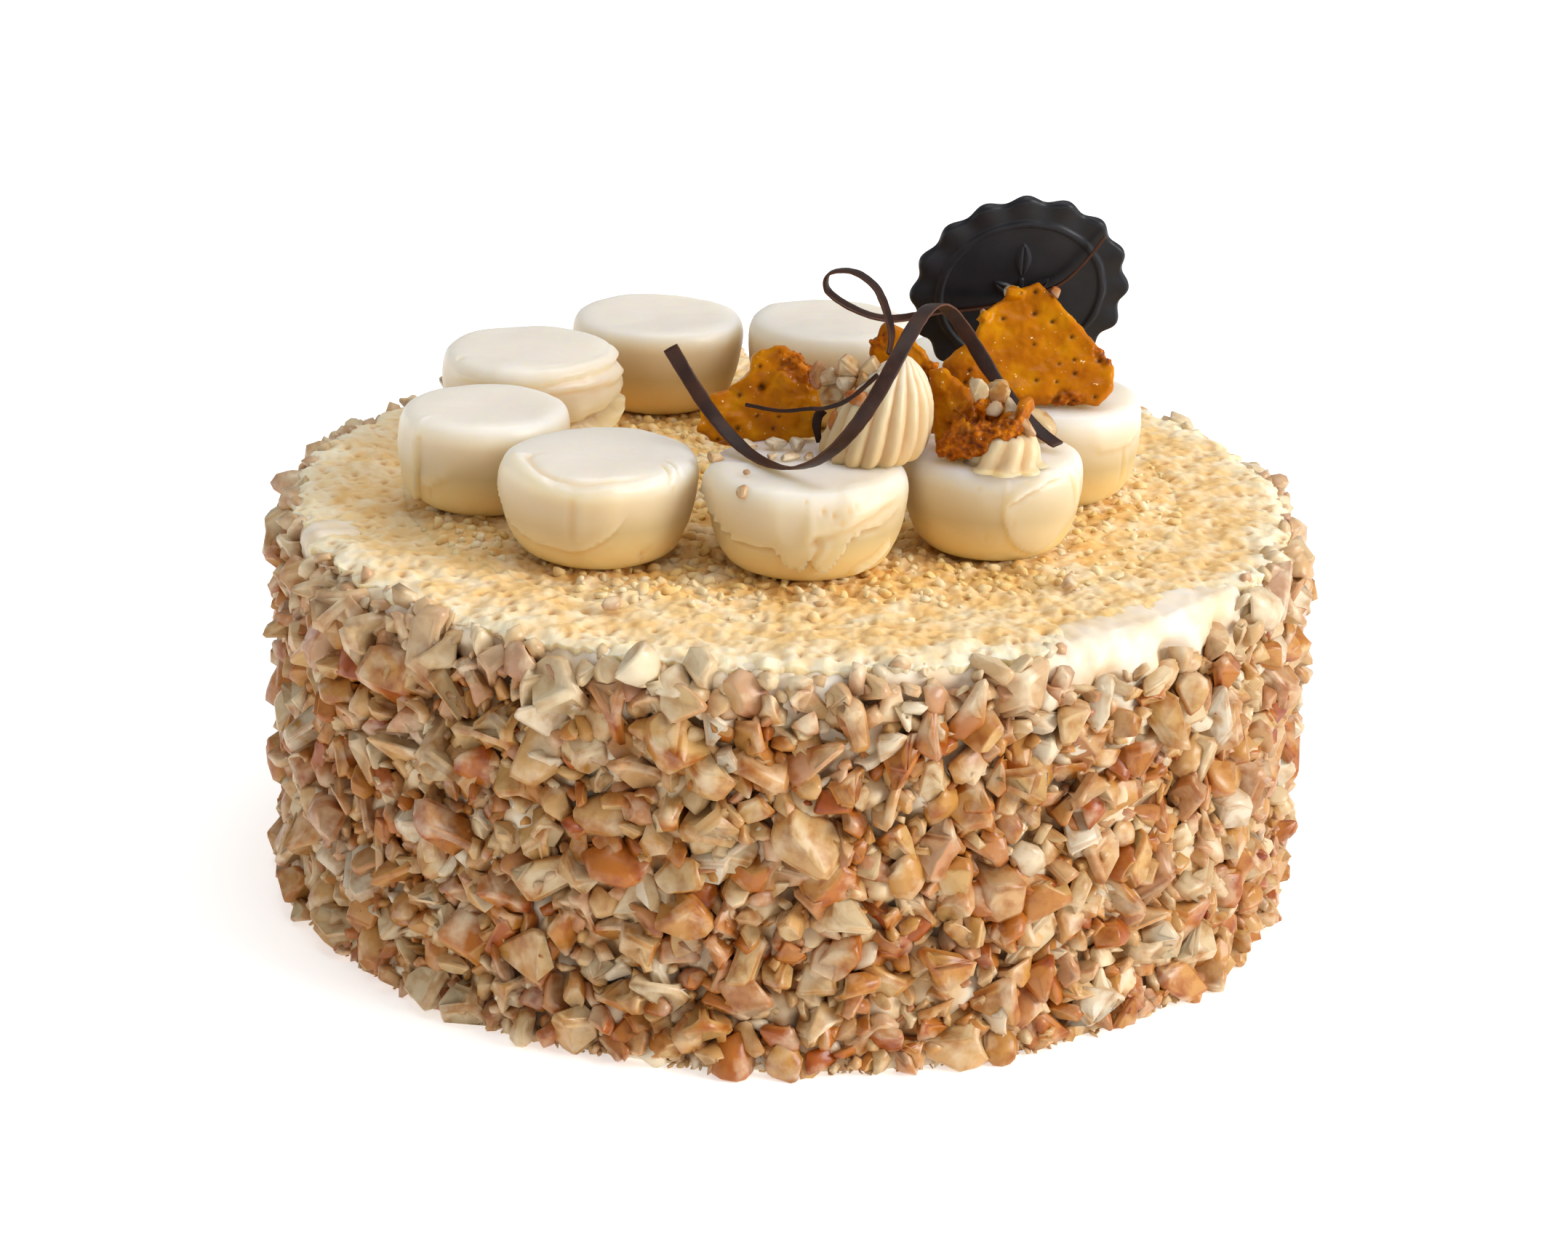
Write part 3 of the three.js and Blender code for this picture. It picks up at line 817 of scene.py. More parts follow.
def chip_collection(name: str, count: int, seed: int, **form: object) -> bpy.types.Collection:
    """A collection of shapes, each one unit long, for Scatter to pick from.

    Args:
        name: the collection's name.
        count: how many shapes it has.
        seed: starts the shapes' random draws.
        **form: fields of NutShape.

    Returns:
        The collection, which isn't in the scene.
    """
    shapes = bpy.data.collections.new(name)
    for index in range(count):
        points, faces, skin = NutShape(seed + index, **form).chip()
        mesh = new_mesh("chip", points / MM, faces, {"skin": skin})
        shapes.objects.link(bpy.data.objects.new(f"{name}_{index:02d}", mesh))
    return shapes


@dataclass
class Scatter:
    """Copies of a few shapes strewn over a surface by Geometry Nodes.

    Spacing and lengths are in millimetres. Tilt is how far a copy leans off the surface's normal,
    proud how far it may stand out and, times sunk, how far in. A skew over 1 makes short copies
    commoner. Crowding is how many points are tried in a square as wide as the spacing.
    """

    name: str
    spacing: float
    smallest: float
    largest: float
    tilt: float
    proud: float
    seed: int
    skew: float = 1.0
    tones: Span = (0.0, 1.0)
    crowding: float = 4.0
    sunk: float = -0.5
    sockets: dict[str, str] = field(default_factory=dict)

    def tree(self, material: Material) -> Tree:
        """Builds the tree: strew points, turn and size a chip on each, realize, dress.

        Args:
            material: the finish that the tree sets.

        Returns:
            The node tree.
        """
        tree = bpy.data.node_groups.new(self.name, "GeometryNodeTree")
        face = tree.interface
        for way in ("INPUT", "OUTPUT"):
            face.new_socket("Geometry", in_out=way, socket_type="NodeSocketGeometry")
        kinds = {"Shapes": "NodeSocketCollection", **dict.fromkeys(
            ("Spacing", "Smallest", "Largest", "Tilt", "Proud"), "NodeSocketFloat"),
            "Seed": "NodeSocketInt"}
        for label, kind in kinds.items():
            self.sockets[label] = face.new_socket(label, in_out="INPUT", socket_type=kind).identifier
        given = add_node(tree, "NodeGroupInput").outputs
        crowd = add_node(tree, "ShaderNodeMath", {0: self.crowding, 1: given["Spacing"]},
                         operation="DIVIDE")
        crowd = add_node(tree, "ShaderNodeMath", {0: crowd.outputs[0], 1: given["Spacing"]},
                         operation="DIVIDE")
        cover = add_node(tree, "GeometryNodeInputNamedAttribute", {"Name": "cover"},
                         data_type="FLOAT")
        strewn = add_node(tree, "GeometryNodeDistributePointsOnFaces", {
            "Mesh": given["Geometry"], "Distance Min": given["Spacing"],
            "Density Max": crowd.outputs[0], "Density Factor": cover.outputs[0],
            "Seed": given["Seed"],
        }, distribute_method="POISSON")
        normal = strewn.outputs["Normal"]
        wobble = add_node(tree, "FunctionNodeRandomValue", {
            0: (-1.0, -1.0, -1.0), 1: (1.0, 1.0, 1.0), "Seed": given["Seed"],
        }, data_type="FLOAT_VECTOR")
        wobble = add_node(tree, "ShaderNodeVectorMath",
                          {0: wobble.outputs[0], "Scale": given["Tilt"]}, operation="SCALE")
        facing = add_node(tree, "ShaderNodeVectorMath", {0: normal, 1: wobble.outputs[0]},
                          operation="ADD")
        aimed = add_node(tree, "FunctionNodeAlignRotationToVector",
                         {"Vector": facing.outputs[0]}, axis="Z")
        spin = add_node(tree, "FunctionNodeRandomValue",
                        {2: 0.0, 3: 2 * math.pi, "Seed": given["Seed"]}, data_type="FLOAT")
        rolled = add_node(tree, "FunctionNodeAxisAngleToRotation",
                          {"Axis": (0.0, 0.0, 1.0), "Angle": spin.outputs[1]})
        turned = add_node(tree, "FunctionNodeRotateRotation", {
            "Rotation": aimed.outputs[0], "Rotate By": rolled.outputs[0]}, rotation_space="LOCAL")
        draw = add_node(tree, "FunctionNodeRandomValue", {2: 0.0, 3: 1.0, "Seed": self.seed + 1},
                        data_type="FLOAT")
        skewed = add_node(tree, "ShaderNodeMath", {0: draw.outputs[1], 1: self.skew},
                          operation="POWER")
        length = add_node(tree, "ShaderNodeMapRange", {
            "Value": skewed.outputs[0], "To Min": given["Smallest"], "To Max": given["Largest"]})
        out = add_node(tree, "FunctionNodeRandomValue", {2: self.sunk, 3: 1.0, "Seed": self.seed + 3},
                       data_type="FLOAT")
        lift = add_node(tree, "ShaderNodeMath", {0: out.outputs[1], 1: given["Proud"]},
                        operation="MULTIPLY")
        shift = add_node(tree, "ShaderNodeVectorMath", {0: normal, "Scale": lift.outputs[0]},
                         operation="SCALE")
        placed = add_node(tree, "GeometryNodeSetPosition",
                          {"Geometry": strewn.outputs["Points"], "Offset": shift.outputs[0]})
        shapes = add_node(tree, "GeometryNodeCollectionInfo", {
            "Collection": given["Shapes"], "Separate Children": True, "Reset Children": True})
        which = add_node(tree, "FunctionNodeRandomValue", {4: 0, 5: 999, "Seed": self.seed + 4},
                         data_type="INT")
        copies = add_node(tree, "GeometryNodeInstanceOnPoints", {
            "Points": placed.outputs[0], "Instance": shapes.outputs[0], "Pick Instance": True,
            "Instance Index": which.outputs[2], "Rotation": turned.outputs[0],
            "Scale": length.outputs["Result"],
        })
        shade = add_node(tree, "FunctionNodeRandomValue", {
            2: self.tones[0], 3: self.tones[1], "Seed": self.seed + 5}, data_type="FLOAT")
        toned = add_node(tree, "GeometryNodeStoreNamedAttribute", {
            "Geometry": copies.outputs[0], "Name": "tone", "Value": shade.outputs[1],
        }, data_type="FLOAT", domain="INSTANCE")
        whole = add_node(tree, "GeometryNodeRealizeInstances", {"Geometry": toned.outputs[0]})
        dressed = add_node(tree, "GeometryNodeSetMaterial",
                           {"Geometry": whole.outputs[0], "Material": material})
        add_node(tree, "NodeGroupOutput", {"Geometry": dressed.outputs[0]})
        return tree

    def strew(self, surface: Mesh, shapes: bpy.types.Collection, material: Material) -> None:
        """Runs the tree over a surface and makes the realized copies a piece of the cake.

        Nothing reaches below the table.

        Args:
            surface: where the copies lie.
            shapes: the collection of shapes, each one unit long.
            material: their finish.
        """
        tree = self.tree(material)
        carrier = new_object(f"{self.name}_carrier", surface)
        modifier = carrier.modifiers.new("Scatter", "NODES")
        modifier.node_group = tree
        values = {"Shapes": shapes, "Spacing": self.spacing * MM, "Smallest": self.smallest * MM,
                  "Largest": self.largest * MM, "Tilt": self.tilt, "Proud": self.proud * MM,
                  "Seed": self.seed}
        for label, value in values.items():
            modifier[self.sockets[label]] = value
        bpy.context.view_layer.update()
        evaluated = carrier.evaluated_get(bpy.context.evaluated_depsgraph_get())
        mesh = bpy.data.meshes.new_from_object(evaluated)
        mesh.name = self.name
        bpy.data.objects.remove(carrier)
        bpy.data.node_groups.remove(tree)
        places = np.zeros(len(mesh.vertices) * 3, np.float32)
        mesh.vertices.foreach_get("co", places)
        places[2::3] = np.maximum(places[2::3], 0)
        mesh.vertices.foreach_set("co", places)
        new_piece(self.name, mesh, material, Slot.NUT_CRUST)


@dataclass
class CakeBody:
    """The cream core, its crust of chopped nuts and the bed of crumbs on the top."""

    core_radius: float = 96.4
    core_drop: float = 1.4
    flare: float = 1.6
    flare_height: float = 14.0
    rim_rounding: float = 3.0
    rim_rows: int = 6
    shelf: Span = (0.7, 9.8)
    shelf_rows: int = 14
    columns: int = 560
    row_spacing: float = 1.15
    smear: Relief = Relief(3.7, 8.0)
    ripples: Relief = Relief(0.5, 2.6, 2, 3.0)
    swells: Relief = Relief(0.7, 9.0, 3, 7.0)
    strokes: Relief = Relief(2.2, 3.4)
    stroke_rise: float = 0.5
    stroke_stretch: float = 3.0
    foot_heights: Span = (0.1, 1.5)
    wall_reach: Span = (93.0, 95.0)
    rim_heights: Span = (68.0, 72.0)
    rim_reach: Span = (91.5, 94.5)
    lip_heights: Span = (71.5, 74.0)
    lip_rise: float = 0.3
    bare_rise: float = 0.8
    bare_widening: float = 7.0
    bare_stretches: tuple[Span, ...] = ((-46.0, 17.0), (-160.0, 3.5), (70.0, 12.0))
    disc_radius: float = 76.0
    disc_cells: int = 300
    seam_width: float = 1.6
    seam_dip: float = 0.3
    bed_radius: float = 96.0
    bed_depth: float = 2.8
    bed_edge: Relief = Relief(2.0, 5.0, 4)
    bed_edge_fade: float = 3.0
    bed_edge_drop: float = 0.8
    bare_gap: float = 6.0
    ring_columns: int = 1280
    ring_rows: int = 44
    hills: Relief = Relief(0.8, 13.0)
    knobs: Relief = Relief(0.6, 3.2, 3, 2.0)
    sinking: float = 0.3
    grain_spacing: float = 1.8
    grain_radius: float = 0.75
    grain_height: float = 0.3
    loose_height: float = 0.25
    pore_spacing: float = 2.4
    pore_radius: float = 0.65
    pore_depth: float = 0.9
    pore_share: float = 0.55
    loose_reach: Span = (62.0, 80.0)
    loose_edge: Relief = Relief(10.0, 18.0, 3, 5.0)
    band_columns: int = 180
    band_offset: float = 0.9
    band_patches: Relief = Relief(1.2, 14.0, 2)
    band_rim: Span = (70.5, 74.0)
    foot_section: tuple[Span, ...] = ((99.4, 0.3), (98.4, 1.4), (97.8, 3.0))
    foot_columns: int = 360
    foot_patches: Relief = Relief(1.5, 12.0, 2)

    def bare(self, points: Array) -> Array:
        """How bare the rim is at each point: 1 where it shows a broad band of white cream.

        Args:
            points: places in millimetres, of which only the direction from the axis counts.

        Returns:
            A share from 0 to 1 for each point.
        """
        angle = np.degrees(np.arctan2(points[:, 1], points[:, 0]))
        result = np.zeros(len(points))
        for middle, half in self.bare_stretches:
            result = np.maximum(result, 1 - smoothstep(np.abs(angle - middle), 0.6 * half, half))
        return result

    def outside(self) -> Array:
        """Radius and height up the core's wall and over its rounded rim.

        Returns:
            One row for each ring.
        """
        top = CAKE_TOP - self.core_drop
        wall_rows = int((top - self.rim_rounding) / self.row_spacing)
        heights = np.linspace(0, top - self.rim_rounding, wall_rows)
        flared = self.core_radius + self.flare * np.clip(1 - heights / self.flare_height, 0, 1)
        turn = np.linspace(0, math.pi / 2, self.rim_rows + 1)[1:]
        inner = self.core_radius - self.rim_rounding
        rim = np.stack([inner + self.rim_rounding * np.cos(turn),
                        top - self.rim_rounding + self.rim_rounding * np.sin(turn)], 1)
        return np.vstack([np.stack([flared, heights], 1), rim])

    def section(self) -> Array:
        """Radius and height up the core's outside, from the base to the middle of the top.

        Returns:
            One row for each ring.
        """
        top = CAKE_TOP - self.core_drop
        inner = self.core_radius - self.rim_rounding
        start, end = self.shelf
        shelf = np.stack([np.linspace(inner - start, inner - end, self.shelf_rows),
                          np.full(self.shelf_rows, top)], 1)
        middle = np.array([[inner * 0.6, top], [inner * 0.3, top]])
        return np.vstack([[inner * 0.5, 0], self.outside(), shelf, middle])

    def build_core(self, material: Material) -> None:
        """Makes the core: smeared cream on the wall, and a rim dragged outwards by the knife.

        Args:
            material: the cream's finish.
        """
        points, faces = closed_rings(lathe(self.section(), self.columns))
        reach = np.hypot(points[:, 0], points[:, 1])
        bare = self.bare(points)
        on_rim = (smoothstep(points[:, 2], *self.rim_heights)
                  * smoothstep(reach + self.bare_widening * bare, *self.rim_reach))
        on_wall = smoothstep(reach, *self.wall_reach) * smoothstep(points[:, 2], *self.foot_heights)
        smear = self.smear.at(points) + self.ripples.at(points)
        around = np.arctan2(points[:, 1], points[:, 0]) * self.core_radius
        dragged = np.stack([around, reach / self.stroke_stretch,
                            points[:, 2] / self.stroke_stretch], 1)
        calm = 1 - 0.5 * bare
        strokes = calm * (self.stroke_rise - np.abs(self.strokes.at(dragged)))
        peaks = strokes + self.swells.at(points)
        outward = smear * on_wall * (1 - 0.6 * on_rim) + 0.5 * peaks * on_rim
        points[:, :2] *= (1 + outward / np.maximum(reach, 1))[:, None]
        lift = 0.9 * peaks + self.lip_rise + self.bare_rise * bare
        points[:, 2] += lift * on_rim * smoothstep(points[:, 2], *self.lip_heights)
        mesh = new_mesh("cake_core", points, faces)
        new_piece("cake_core", mesh, material, Slot.NUT_CRUST, "cake")

    def loose(self, points: Array) -> Array:
        """How loose and granular the crumbs are: 1 round the rounds and 0 near the rim."""
        reach = np.hypot(points[:, 0], points[:, 1])
        return 1 - smoothstep(reach + self.loose_edge.at(points * (1, 1, 0)), *self.loose_reach)

    def crumble(self, points: Array) -> dict[str, Array]:
        """Raises the flat top into crumbs: loose grains inside, a pored sponge further out.

        Args:
            points: places on the flat top, which are raised.

        Returns:
            The values of each attribute at the points.
        """
        inner = self.loose(points)
        dome, pore_and_shade = np.zeros(len(points)), np.zeros(len(points))
        for index, place in enumerate(points.tolist()):
            near, _ = noise.voronoi([p / self.grain_spacing for p in place])
            dome[index] = max(0.0, 1 - (near[0] / self.grain_radius) ** 2)
            near, spots = noise.voronoi([p / self.pore_spacing + 5 for p in place])
            if (spots[0].x * 7.3 + spots[0].y * 3.1) % 1 < self.pore_share:
                pore_and_shade[index] = math.exp(-(near[0] * self.pore_spacing / self.pore_radius) ** 2)
        points[:, 2] += self.hills.at(points) + self.knobs.at(points) - self.sinking
        points[:, 2] += (self.grain_height + self.loose_height * inner) * dome - self.pore_depth * pore_and_shade
        # Painted shade: the tone is raised on grain tops and lowered between them, and the pore values
        # darken pits and the gaps between grains.
        tone = np.clip(0.5 + 0.45 * bumps(points, 3.0, 2, 8.0) + 0.2 * (dome - 0.5), 0, 1)
        return {"tone": tone, "pore_and_shade": np.clip(0.85 * pore_and_shade + 0.25 * (0.25 - dome), 0, 1)}

    def build_disc(self, material: Material) -> Mesh:
        """Makes the inner crumbs: a disc of even cells, closed below.

        Args:
            material: the crumbs' finish.

        Returns:
            A copy of the disc's mesh for loose crumbs to lie on, where they are in the open.
        """
        side = np.linspace(-1, 1, self.disc_cells + 1)
        u, v = (g.ravel() for g in np.meshgrid(side, side))
        u_leads = np.abs(u) >= np.abs(v)
        safe_u, safe_v = np.where(u == 0, 1, u), np.where(v == 0, 1, v)
        around = np.where(u_leads, math.pi / 4 * v / safe_u, math.pi / 2 - math.pi / 4 * u / safe_v)
        reach = self.disc_radius * np.where(u_leads, u, v)
        points = np.stack([reach * np.cos(around), reach * np.sin(around),
                           np.full(len(u), CAKE_TOP)], 1)
        cover = self.loose(points) * self.in_the_open(points)
        attributes = {**self.crumble(points), "cover": cover}
        inner = self.disc_radius - self.seam_width
        points[:, 2] -= self.seam_dip * smoothstep(np.abs(reach), inner, self.disc_radius)
        row = self.disc_cells + 1
        faces = [(i * row + j, i * row + j + 1, (i + 1) * row + j + 1, (i + 1) * row + j)
                 for i in range(row - 1) for j in range(row - 1)]
        border = [*range(row - 1), *range(row - 1, row * row - 1, row),
                  *range(row * row - 1, row * (row - 1), -1), *range(row * (row - 1), 0, -row)]
        below = points[border] * (1, 1, 0) + (0, 0, CAKE_TOP - self.bed_depth)
        start, count = len(points), len(border)
        for k in range(count):
            m = (k + 1) % count
            faces.append((border[k], start + k, start + m, border[m]))
        faces.append(tuple(range(start + count - 1, start - 1, -1)))
        flat = [index >= self.disc_cells ** 2 for index in range(len(faces))]
        attributes = {key: np.append(values, np.zeros(count)) for key, values in attributes.items()}
        mesh = new_mesh("crumb_bed", np.vstack([points, below]), faces, attributes, flat)
        copy = mesh.copy()
        new_piece("crumb_bed", mesh, material, Slot.NUT_CRUST)
        return copy

    def build_ring(self, material: Material) -> None:
        """Makes the outer crumbs: a ring with a ragged edge, which leaves the bare rim free.

        Args:
            material: the crumbs' finish.
        """
        unit = lathe(np.array([(1.0, 0.0)]), self.ring_columns)[0]
        edge = self.bed_radius + self.bed_edge.at(unit * 90) - self.bare_gap * self.bare(unit)
        shares = np.linspace(1, 0, self.ring_rows)
        inner = self.disc_radius - self.seam_width
        reach = inner + shares[:, None] * (edge - inner)
        top = unit * reach[:, :, None] + (0, 0, CAKE_TOP)
        fade = 1 - smoothstep(edge - reach, 0.0, self.bed_edge_fade)
        level = top.reshape(-1, 3)
        attributes = self.crumble(level)
        rings = level.reshape(top.shape)
        rings[:, :, 2] -= self.bed_edge_drop * fade
        rings[:, :, 2] -= self.seam_dip * (1 - smoothstep(reach, inner, self.disc_radius))
        base = (0, 0, CAKE_TOP - self.bed_depth)
        under = np.stack([rings[-1] * (1, 1, 0) + base, rings[0] * (0.995, 0.995, 0) + base])
        points = np.vstack([under, rings]).reshape(-1, 3)
        nothing = np.zeros(2 * self.ring_columns)
        attributes = {key: np.append(nothing, values) for key, values in attributes.items()}
        rows = len(points) // self.ring_columns
        faces = ring_faces(rows, self.ring_columns, looped=True)
        flat = [row in (0, 1, rows - 1) for row in range(rows) for _ in range(self.ring_columns)]
        mesh = new_mesh("crumb_bed_rim", points, faces, attributes, flat)
        new_piece("crumb_bed_rim", mesh, material, Slot.NUT_CRUST)

    @staticmethod
    def in_the_open(points: Array) -> Array:
        """Tells the open crumbs from those that a cream round stands on.

        Args:
            points: places in millimetres.

        Returns:
            1 in the open and 0 under a round, for each point.
        """
        result = np.ones(len(points))
        for number in range(1, ROUND_COUNT + 1):
            low, high = (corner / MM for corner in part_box(f"cream_round_{number}"))
            off = np.hypot(points[:, 0] - (low.x + high.x) / 2, points[:, 1] - (low.y + high.y) / 2)
            result[off < 0.3 * (high.x - low.x)] = 0
        return result

    def wall_band(self, low: float, high: float) -> Mesh:
        """An open band of the wall and rim for chips to lie on, barer along the rim.

        Args:
            low: height where the band starts.
            high: height where it ends, or the cake's top to take in the rim.

        Returns:
            The band's mesh.
        """
        section = self.outside()
        keep = (section[:, 1] >= low) & (section[:, 1] <= high)
        rings = lathe(section[keep] + (self.band_offset, 0.0), self.band_columns)
        points = rings.reshape(-1, 3)
        bare = self.bare(points)
        patchy = np.clip(0.9 + self.band_patches.at(points), 0, 1)
        rim = smoothstep(points[:, 2] + 4 * bare, *self.band_rim)
        cover = 1 - rim * (1 - 0.95 * patchy * (1 - bare))
        return new_mesh("wall_band", points, ring_faces(*rings.shape[:2]), {"cover": cover})

    def build_crust(self, material: Material) -> None:
        """Presses large, medium and small nuts on the wall.

        Args:
            material: the nuts' finish.
        """
        coarse = chip_collection("large_chip", 20, 100, segments=8, rings=6, cuts=(2, 6))
        middle = chip_collection("medium_chip", 20, 200)
        fine = chip_collection("small_chip", 14, 300, segments=5, rings=4, cuts=(2, 4), worn=0.0)
        passes = (
            (Scatter("nuts_large", spacing=6.8, smallest=7.5, largest=14.5, tilt=0.9, proud=1.9,
                     seed=1, skew=1.5), coarse, 3.0, 70.5),
            (Scatter("nuts_medium", spacing=4.5, smallest=4.8, largest=9.5, tilt=1.5, proud=1.5,
                     seed=11, skew=1.3), middle, 1.8, 74.3),
            (Scatter("nuts_small", spacing=3.2, smallest=2.4, largest=5.8, tilt=2.2, proud=0.9,
                     seed=21), fine, 0.8, CAKE_TOP),
        )
        for scatter, shapes, low, high in passes:
            scatter.strew(self.wall_band(low, high), shapes, material)

    def build_bed(self, material: Material) -> None:
        """Makes the crumb bed and strews loose crumbs over it.

        Args:
            material: the crumbs' finish.
        """
        self.build_ring(material)
        disc = self.build_disc(material)
        round_form = {"worn": 0.0, "breadth": (0.7, 0.95), "fullness": (0.6, 0.9)}
        lumps = chip_collection("crumb", 8, 400, segments=7, rings=5, cuts=(0, 2), **round_form)
        grains = chip_collection("grain", 6, 500, segments=4, rings=3, cuts=(0, 1), **round_form)
        Scatter("crumb_lumps", spacing=3.2, smallest=1.5, largest=3.4, tilt=0.9, proud=0.0,
                seed=31, skew=1.5, tones=(0.6, 1.0)).strew(disc.copy(), lumps, material)
        Scatter("crumb_grains", spacing=4.0, smallest=0.7, largest=1.5, tilt=1.0, proud=0.1,
                seed=41, skew=1.3, tones=(0.6, 1.0)).strew(disc, grains, material)

    def build_foot(self, material: Material) -> None:
        """Strews the sandy crumbs that fill the corner between the wall and the table.

        Args:
            material: the sandy crumbs' finish.
        """
        grains = chip_collection("sand", 6, 600, segments=5, rings=3, cuts=(0, 2), worn=0.0)
        rings = lathe(np.array(self.foot_section), self.foot_columns)
        points = rings.reshape(-1, 3)
        cover = np.clip(0.8 + self.foot_patches.at(points), 0, 1)
        band = new_mesh("foot_band", points, ring_faces(*rings.shape[:2]), {"cover": cover})
        Scatter("base_crumbs", spacing=0.95, smallest=0.9, largest=2.4, tilt=1.4, proud=0.5,
                seed=51, skew=1.5).strew(band, grains, material)


@dataclass
class Layer:
    """A layer of cream smeared over a round, thickest along its crisp edge.

    Places on a round are an azimuth in degrees and a climb in millimetres: the height above the
    foot, which goes on inwards over the top. The layer lies above its edge, or below it where
    it is a turned-over lip.
    """

    edge: tuple[Span, ...]
    depth: float
    thickness: float = 0.5
    lip: bool = False
    shade: float = 0.5
    soft: float = 0.6
    ripple: float = 0.35
    groove: float = 0.35
    bead: float = 0.25
    tapers: Span = (6.0, 6.0)

    def shape(self, azimuth: Array, climb: Array, wobble: Array) -> tuple[Array, Array]:
        """Measures the layer at each place.

        Args:
            azimuth: angle of each place round the axis, in degrees.
            climb: how far up the round each place is.
            wobble: noise that ripples the edge.

        Returns:
            How thick the layer is there, from 0 to 1, and how deep the groove along its edge.
        """
        at, height = smooth_path(self.edge, 60).T
        over = climb - np.interp(azimuth, at, height) - self.ripple * wobble
        if self.lip:
            over = -over
        ends = (smoothstep(azimuth, at[0], at[0] + self.tapers[0])
                * smoothstep(-azimuth, -at[-1], self.tapers[1] - at[-1]))
        fade = 1 - smoothstep(over, 0.3 * self.depth, self.depth)
        body = 1 - self.bead + self.bead * dot(over - 1.2 * self.soft, self.soft)
        groove = dot(over + 0.6 * self.soft, 0.7 * self.soft)
        return smoothstep(over, 0, self.soft) * fade * ends * body, groove * ends


@dataclass
class Crease:
    """A narrow groove down the side of a round, with a ridge along its right."""

    start: Span
    end: Span
    width: float = 0.55
    depth: float = 0.35

    def lift(self, azimuth: Array, climb: Array, radius: float) -> Array:
        """How far the crease lifts or sinks the surface at each place.

        Args:
            azimuth: angle of each place round the axis, in degrees.
            climb: how far up the round each place is.
            radius: the round's radius.

        Returns:
            The lift in millimetres.
        """
        (top_at, top), (low_at, low) = self.start, self.end
        middle = low_at + (top_at - low_at) * np.clip((climb - low) / (top - low), 0, 1)
        off = np.radians(azimuth - middle) * radius
        span = smoothstep(climb, low - 1.5, low + 1.5) * smoothstep(-climb, -top - 1.5, 1.5 - top)
        return self.depth * span * (0.8 * dot(off - 1.6 * self.width, 1.3 * self.width)
                                    - dot(off, self.width))


